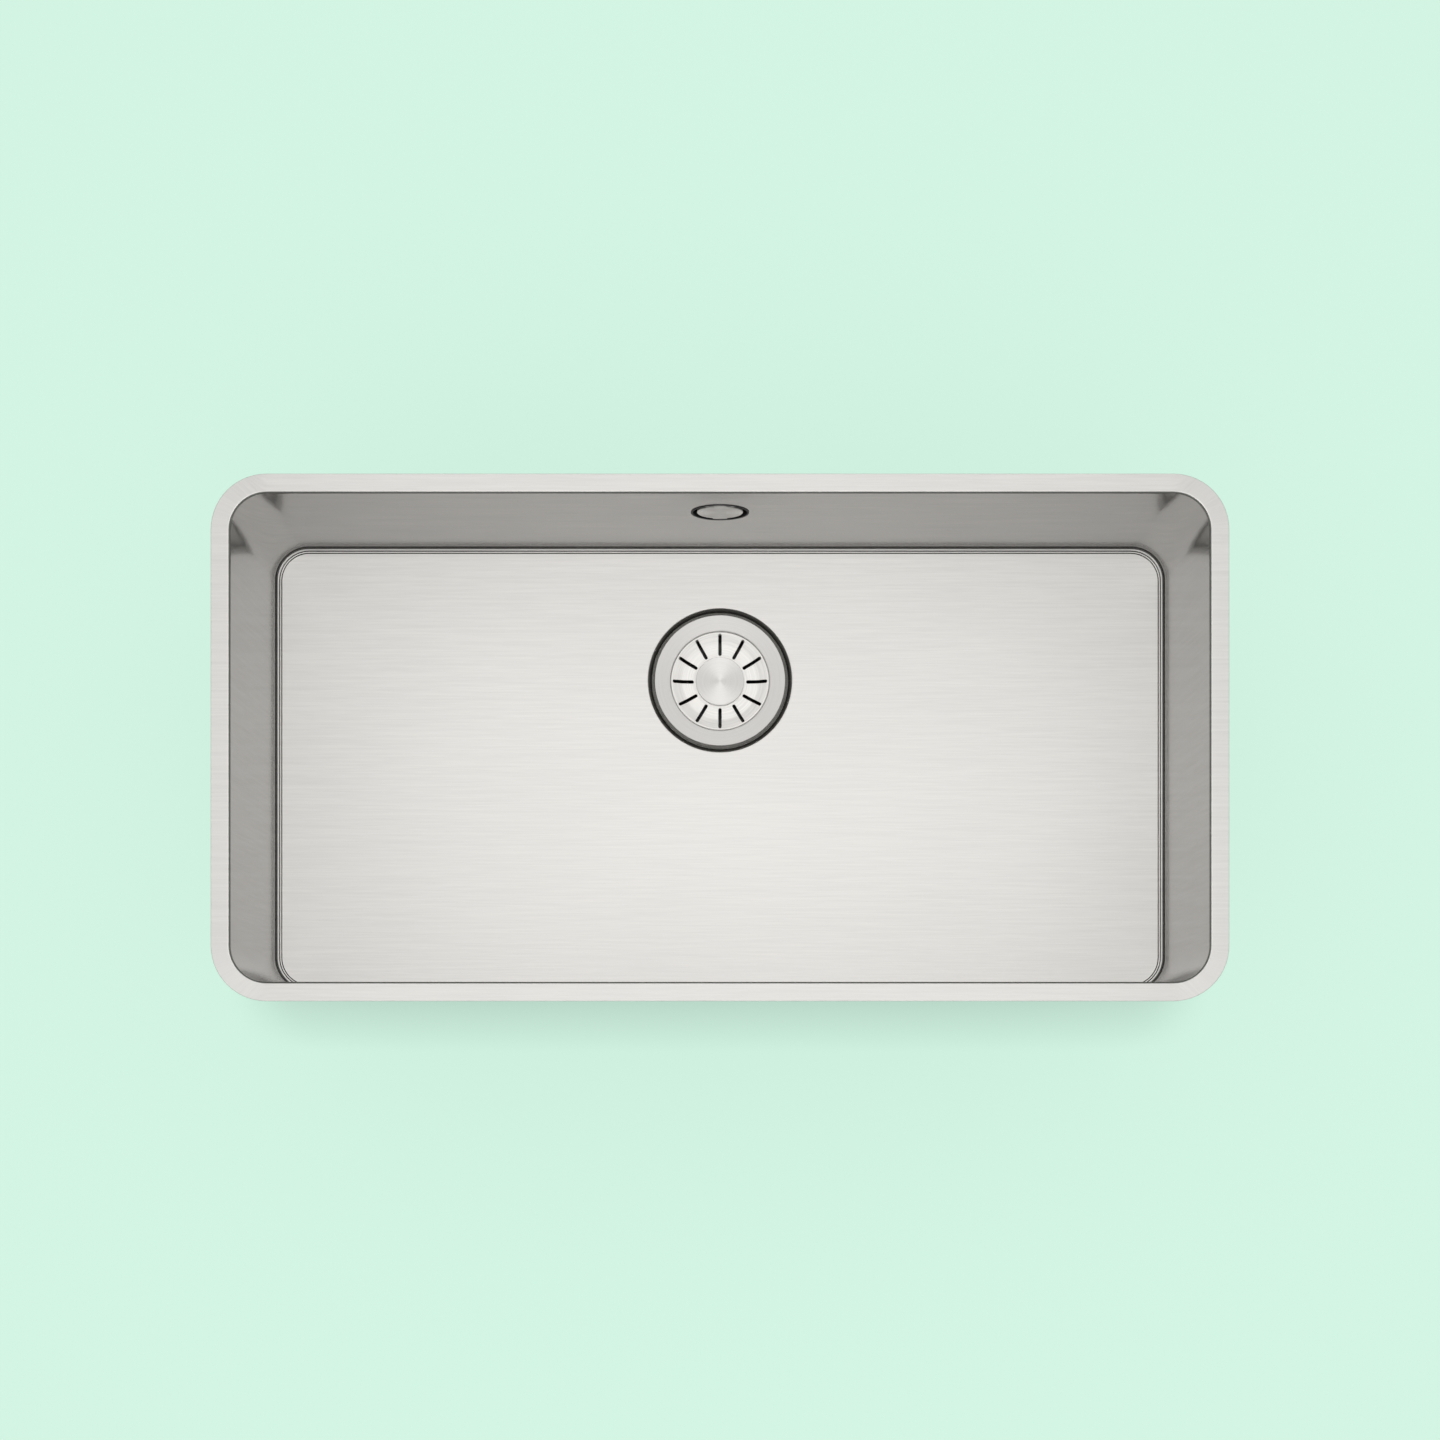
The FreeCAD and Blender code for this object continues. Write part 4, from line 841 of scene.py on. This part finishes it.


# ---------------------------------------------------------------- the overflow
# A thin near-black bezel lines the hole in the back wall, and a round spun cap clips in it on four
# tabs, with the ring that water enters left open round it. The bezel's near-black is partly a
# guessed moulded colour and partly painted shade, for the dark open ring round the cap. Behind the
# wall a rubber ring seals the moulded chamber.
overflow_axis = (0.0, 0.0, overflow_z)
cap_steel = spun_steel("cap_steel", overflow_axis, "Y", (0.70, 0.69, 0.67), 0.42, 0.8)
# Painted shade: the cap's tabs and skirt behind the wall's face are coloured nearly black, for the
# shade inside the hole.
paint_shade_beyond(cap_steel, "Y", wall_y + 0.0022, wall_y + 0.0008, (0.030, 0.030, 0.029))
dress(cap_steel, "overflow_cap")
# Partly painted shade: the bezel is coloured near-black so that the open ring round the cap reads
# dark.
bezel_black = moulded("bezel_black", (0.006, 0.006, 0.006), (0.012, 0.012, 0.012), 0.6, 0.00002)
dress(bezel_black, "overflow_bezel")
dress(screw_steel, "overflow_screw")
on_back_wall = on_axis((0.0, wall_y, overflow_z), (0, -1, 0))
ring_bore, ring_outer, ring_back = 0.0227, 0.0300, -sheet - 0.0030
overflow_ring = turned("overflow_seal_ring", [(ring_bore, ring_back), (ring_outer, ring_back),
                                              (ring_outer, -sheet), (ring_bore, -sheet)],
                       [0.0006] * 4, on_back_wall)
finish_piece(overflow_ring, black_rubber, "sink", "black_rubber", "overflow_seal")
spigot_thread = ((0.0, hose_y, 0.0), "Z", -0.0995, -0.0865, spigot_root, spigot_pitch)
dress(threaded_plastic("overflow_plastic", 0.38, [spigot_thread]), "overflow_housing")


# ---------------------------------------------------------------- the overflow hose
# A corrugated plastic hose with plain cuffs. It hangs from the overflow's spigot, turns in under
# the bowl and ends at the waste body. Flat washers seal its collars and union nuts hold them.
down_run, bend_radius, along_run = 0.088, 0.042, 0.02895
hose_start = -0.102
hose_length = down_run + bend_radius * math.pi / 2 + along_run
crest, root, hose_bore, collar_radius, collar, cuff = 0.0125, 0.0107, 0.0094, 0.0138, 0.002, 0.007
rib_count = 41


def hose_line(distance):
    """The centre line: straight down, a quarter turn, straight in. (centres, directions)"""
    bend = bend_radius * math.pi / 2
    turn = np.clip((distance - down_run) / bend_radius, 0, math.pi / 2)
    down = np.minimum(distance, down_run)
    along = np.maximum(distance - down_run - bend, 0)
    y = hose_y - bend_radius * (1 - np.cos(turn)) - along
    z = hose_start - down - bend_radius * np.sin(turn)
    zero = np.zeros_like(distance)
    return np.stack([zero, y, z], -1), np.stack([zero, -np.sin(turn), -np.cos(turn)], -1)


def corrugate():
    """A tube round the centre line c(s): c + r(s) * (cos a * X + sin a * (d x X)). Outside, r runs
    through collar, cuff and ribs with rounded crests; inside it is the plain bore."""
    first = collar + cuff
    pitch = (hose_length - 2 * first) / rib_count
    corners = [(0, hose_bore), (0, collar_radius), (collar, collar_radius), (collar, root)]
    for rib in range(rib_count):
        at = first + rib * pitch
        corners += [(at, root), (at + 0.3 * pitch, crest), (at + 0.6 * pitch, crest),
                    (at + 0.9 * pitch, root)]
    corners += [(hose_length - collar, root), (hose_length - collar, collar_radius),
                (hose_length, collar_radius), (hose_length, hose_bore)]
    radii = [0.0003, 0.0003, 0.0002] + [0.0004] * (4 * rib_count) + [0.0002, 0.0003, 0.0003]
    line = bent_line(corners, radii, steps=3, hold=0.00002)
    back = np.linspace(hose_length, 0, 40)[1:]
    line = np.concatenate([line, np.column_stack([back, np.full(len(back), hose_bore)])])
    angle = np.linspace(0, 2 * math.pi, 72, endpoint=False)
    centre, along = hose_line(line[:, 0])
    first_axis = np.broadcast_to([1.0, 0.0, 0.0], along.shape)
    second_axis = np.cross(along, first_axis)
    points = centre[:, None] + line[:, None, 1:] * (np.cos(angle)[:, None] * first_axis[:, None]
                                                    + np.sin(angle)[:, None] * second_axis[:, None])
    flat = np.stack(np.broadcast_arrays(angle * root, line[:, :1]), -1)
    return join_grids("corrugated_hose", [(points, flat, grid_faces(len(line), len(angle)))])


hose = corrugate()
hose_plastic = moulded("hose_plastic", (0.60, 0.61, 0.60), (0.70, 0.71, 0.70), 0.34, 0.00002)
finish_piece(hose, hose_plastic, "sink", "hose_plastic", "overflow_hose")
washer_outer, washer_thick = 0.0134, 0.002
for name, origin, along in (
        ("upper_hose_washer", (0, hose_y, hose_start + washer_thick), (0, 0, -1)),
        ("lower_hose_washer", (0, waste_y + 0.060, port_z), (0, 1, 0))):
    washer = turned(name + "_ring", [(hose_bore, 0), (washer_outer, 0),
                                     (washer_outer, washer_thick), (hose_bore, washer_thick)],
                    [0.0004] * 4, on_axis(origin, along), 72)
    finish_piece(washer, black_rubber, "sink", "black_rubber", name)
nut_plastic = moulded("nut_plastic", (0.66, 0.66, 0.64), (0.74, 0.74, 0.72), 0.36, 0.00003)
dress(nut_plastic, "upper_union_nut", "lower_union_nut")


# ---------------------------------------------------------------- clips under the flange
# Ten zinc-plated studs are welded under the flange. A slotted arm turns on each, between the
# flange and a nut, and its end grips the underside of the worktop.
fixing_steel = plated("fixing_steel", (0.46, 0.475, 0.50), (0.60, 0.61, 0.625), 0.30)
long_side, short_side = 0.1965, 0.386
clip_places = [(x, side * long_side) for side in (-1, 1) for x in (-0.29, -0.1, 0.1, 0.29)]
clip_places += [(-short_side, 0.0), (short_side, 0.0)]
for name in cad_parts:
    if name.startswith("clip_arm"):
        dress(fixing_steel, name)


def cut_studs():
    """Studs with a 1 mm thread: r = 3 mm - 0.35 mm * |2 f - 1|, f the fraction of z / 1 mm plus
    the angle's share of a turn; plain for 1.5 mm at the weld, and chamfered at the tip."""
    length, major, depth, pitch = 0.020, 0.0030, 0.00035, 0.001
    down = np.concatenate([[0, 0, 0.0005, 0.0015], np.arange(0.0017, length - 0.0008, pitch / 5),
                           [length - 0.0005, length, length]])
    angle = np.linspace(0, 2 * math.pi, 24, endpoint=False)
    share = (down[:, None] / pitch + angle / (2 * math.pi)) % 1
    radius = major - depth * np.abs(2 * share - 1)
    radius[:4] = major
    radius[0] = 0
    radius[-3] = major - depth
    radius[-2] = major - 0.0008
    radius[-1] = 0
    grids = []
    for x, y in clip_places:
        place = on_axis((x, y, -sheet), (0, 0, -1))
        points = place(radius, down[:, None], angle)
        flat = np.stack(np.broadcast_arrays(angle * major, down[:, None]), -1)
        grids.append((points, flat, grid_faces(len(down), len(angle))))
    return join_grids("threaded_studs", grids)


def cut_nuts():
    """Hexagon nuts: R(a) = 5 mm / cos(a - nearest flat), and the corners turned off by a cone of
    30 degrees: height lost = (R(a) - 4.8 mm) * tan 30. Their bores are eased by 0.3 mm."""
    high, low, bore, face, across, ease = -0.0041, -0.0091, 0.00305, 0.0048, 0.005, 0.0003
    angle = np.linspace(0, 2 * math.pi, 72, endpoint=False)
    hexagon = across / np.cos((angle % (math.pi / 3)) - math.pi / 6)
    lost = (hexagon - face) * math.tan(math.pi / 6)
    rows = [(bore, low + ease), (bore, high - ease), (bore + ease, high), (face, high),
            (hexagon, high - lost), (hexagon, low + lost), (face, low), (bore + ease, low),
            (bore, low + ease)]
    radius, height = (np.array([np.broadcast_to(row[part], angle.shape) for row in rows])
                      for part in (0, 1))
    grids = []
    for x, y in clip_places:
        points = on_axis((x, y, 0.0), (0, 0, 1))(radius, height, angle)
        grids.append((points, points[..., :2], grid_faces(len(rows), len(angle))))
    return join_grids("chamfered_nuts", grids)


finish_piece(cut_studs(), fixing_steel, "sink", "fixing_steel", "clip_studs")
finish_piece(cut_nuts(), fixing_steel, "sink", "fixing_steel", "clip_nuts")


# ---------------------------------------------------------------- sound-deadening pads
# Grey rubber sheets, 3 mm thick with rounded corners, glued to the outside of the bowl's floor and
# walls. Their faces are finely pebbled and their cut edges are a little softened.
pebbled, nodes, links, shader = node_material("pad_rubber")
place = own_place(nodes)
pebbles = nodes.new("ShaderNodeTexVoronoi")
pebbles.inputs["Scale"].default_value = 420.0
links.new(place, pebbles.inputs["Vector"])
marks = group_node(nodes, links, grain, place)
shade_by(nodes, links, shader, marks.outputs["Clouds"], (0.056, 0.058, 0.061), (0.068, 0.071, 0.075))
domes = smooth_between(nodes, links, pebbles.outputs["Distance"], 0.75, 0.05)
links.new(reckon(nodes, links, "MULTIPLY_ADD", domes, -0.12, 0.86), shader.inputs["Roughness"])
raise_by(nodes, links, shader, domes, 0.0002)


def glue_pad(name, half_long, half_short, place):
    """A plate of 8 mm corners. Rows of (inset, height): its outline is the corner's axis +
    (8 mm - inset) * direction, and inside the last row it closes to the plate's middle line."""
    corner, thick = 0.008, 0.003
    quarter = np.linspace(0, math.pi / 2, 9)
    between = np.linspace(0, 1, 13)[1:-1, None]
    corners = np.array([(1, 1), (-1, 1), (-1, -1), (1, -1)]) \
        * (half_long - corner, half_short - corner)
    axes, turns = [], []
    for number, (here, there) in enumerate(zip(corners, np.roll(corners, -1, axis=0))):
        axes += [np.tile(here, (len(quarter), 1)), here + (there - here) * between]
        turns += [quarter + number * math.pi / 2,
                  np.full(len(between), (number + 1) * math.pi / 2)]
    axes, turns = np.concatenate(axes), np.concatenate(turns)
    out = np.column_stack([np.cos(turns), np.sin(turns)])
    section = [(0.0004, 0.0), (0.0, 0.0004), (0.0, thick - 0.0009), (0.0003, thick - 0.0003),
               (0.0009, thick), (0.002, thick)]
    loops = [axes + (corner - inset) * out for inset, _ in section]
    heights = [height for _, height in section]
    reach = half_long - half_short
    middle = np.column_stack([np.clip(axes[:, 0], -reach, reach), np.zeros(len(axes))])
    for share in (0.3, 0.65, 1.0):
        loops.insert(0, loops[0] * (1 - share) + middle * share)
        heights.insert(0, 0.0)
        loops.append(loops[-1] * (1 - share) + middle * share)
        heights.append(thick)
    plan = np.array(loops)
    points = place(plan[..., 0], plan[..., 1], np.array(heights)[:, None] + 0 * plan[..., 0])
    pad = join_grids(name + "_sheet", [(points, plan, grid_faces(len(loops), len(axes)))])
    finish_piece(pad, pebbled, "sink", "pad_rubber", name)


def under_floor(middle_x, middle_y):
    """On the floor's underside, its long side along Y."""
    def place(u, v, height):
        return np.stack([middle_x + v, middle_y + u, bowl_floor_z - sheet - height], -1)
    return place


def on_wall(middle, out_x, out_y, distance):
    """On an outer wall whose outward direction is (out_x, out_y), upright, 104 mm down."""
    def place(u, v, height):
        away, along = distance + height, u + middle
        return np.stack([out_x * away - out_y * along, out_y * away + out_x * along, v - 0.104], -1)
    return place


long_wall, short_wall = corner_y + wall_radius + sheet, corner_x + wall_radius + sheet
for name, half_long, half_short, place in (
        ("floor_pad_left", 0.1685, 0.1414, under_floor(-0.2166, 0.0)),
        ("floor_pad_right", 0.1685, 0.1414, under_floor(0.2166, 0.0)),
        ("floor_pad_front", 0.08465, 0.0552, under_floor(0.0, -0.08385)),
        ("wall_pad_front", 0.333, 0.049, on_wall(0.0, 0, -1, long_wall)),
        ("wall_pad_left", 0.1435, 0.049, on_wall(0.0, -1, 0, short_wall)),
        ("wall_pad_right", 0.1435, 0.049, on_wall(0.0, 1, 0, short_wall)),
        ("wall_pad_back_left", 0.139, 0.049, on_wall(0.194, 0, 1, long_wall)),
        ("wall_pad_back_right", 0.139, 0.049, on_wall(-0.194, 0, 1, long_wall))):
    glue_pad(name, half_long, half_short, place)
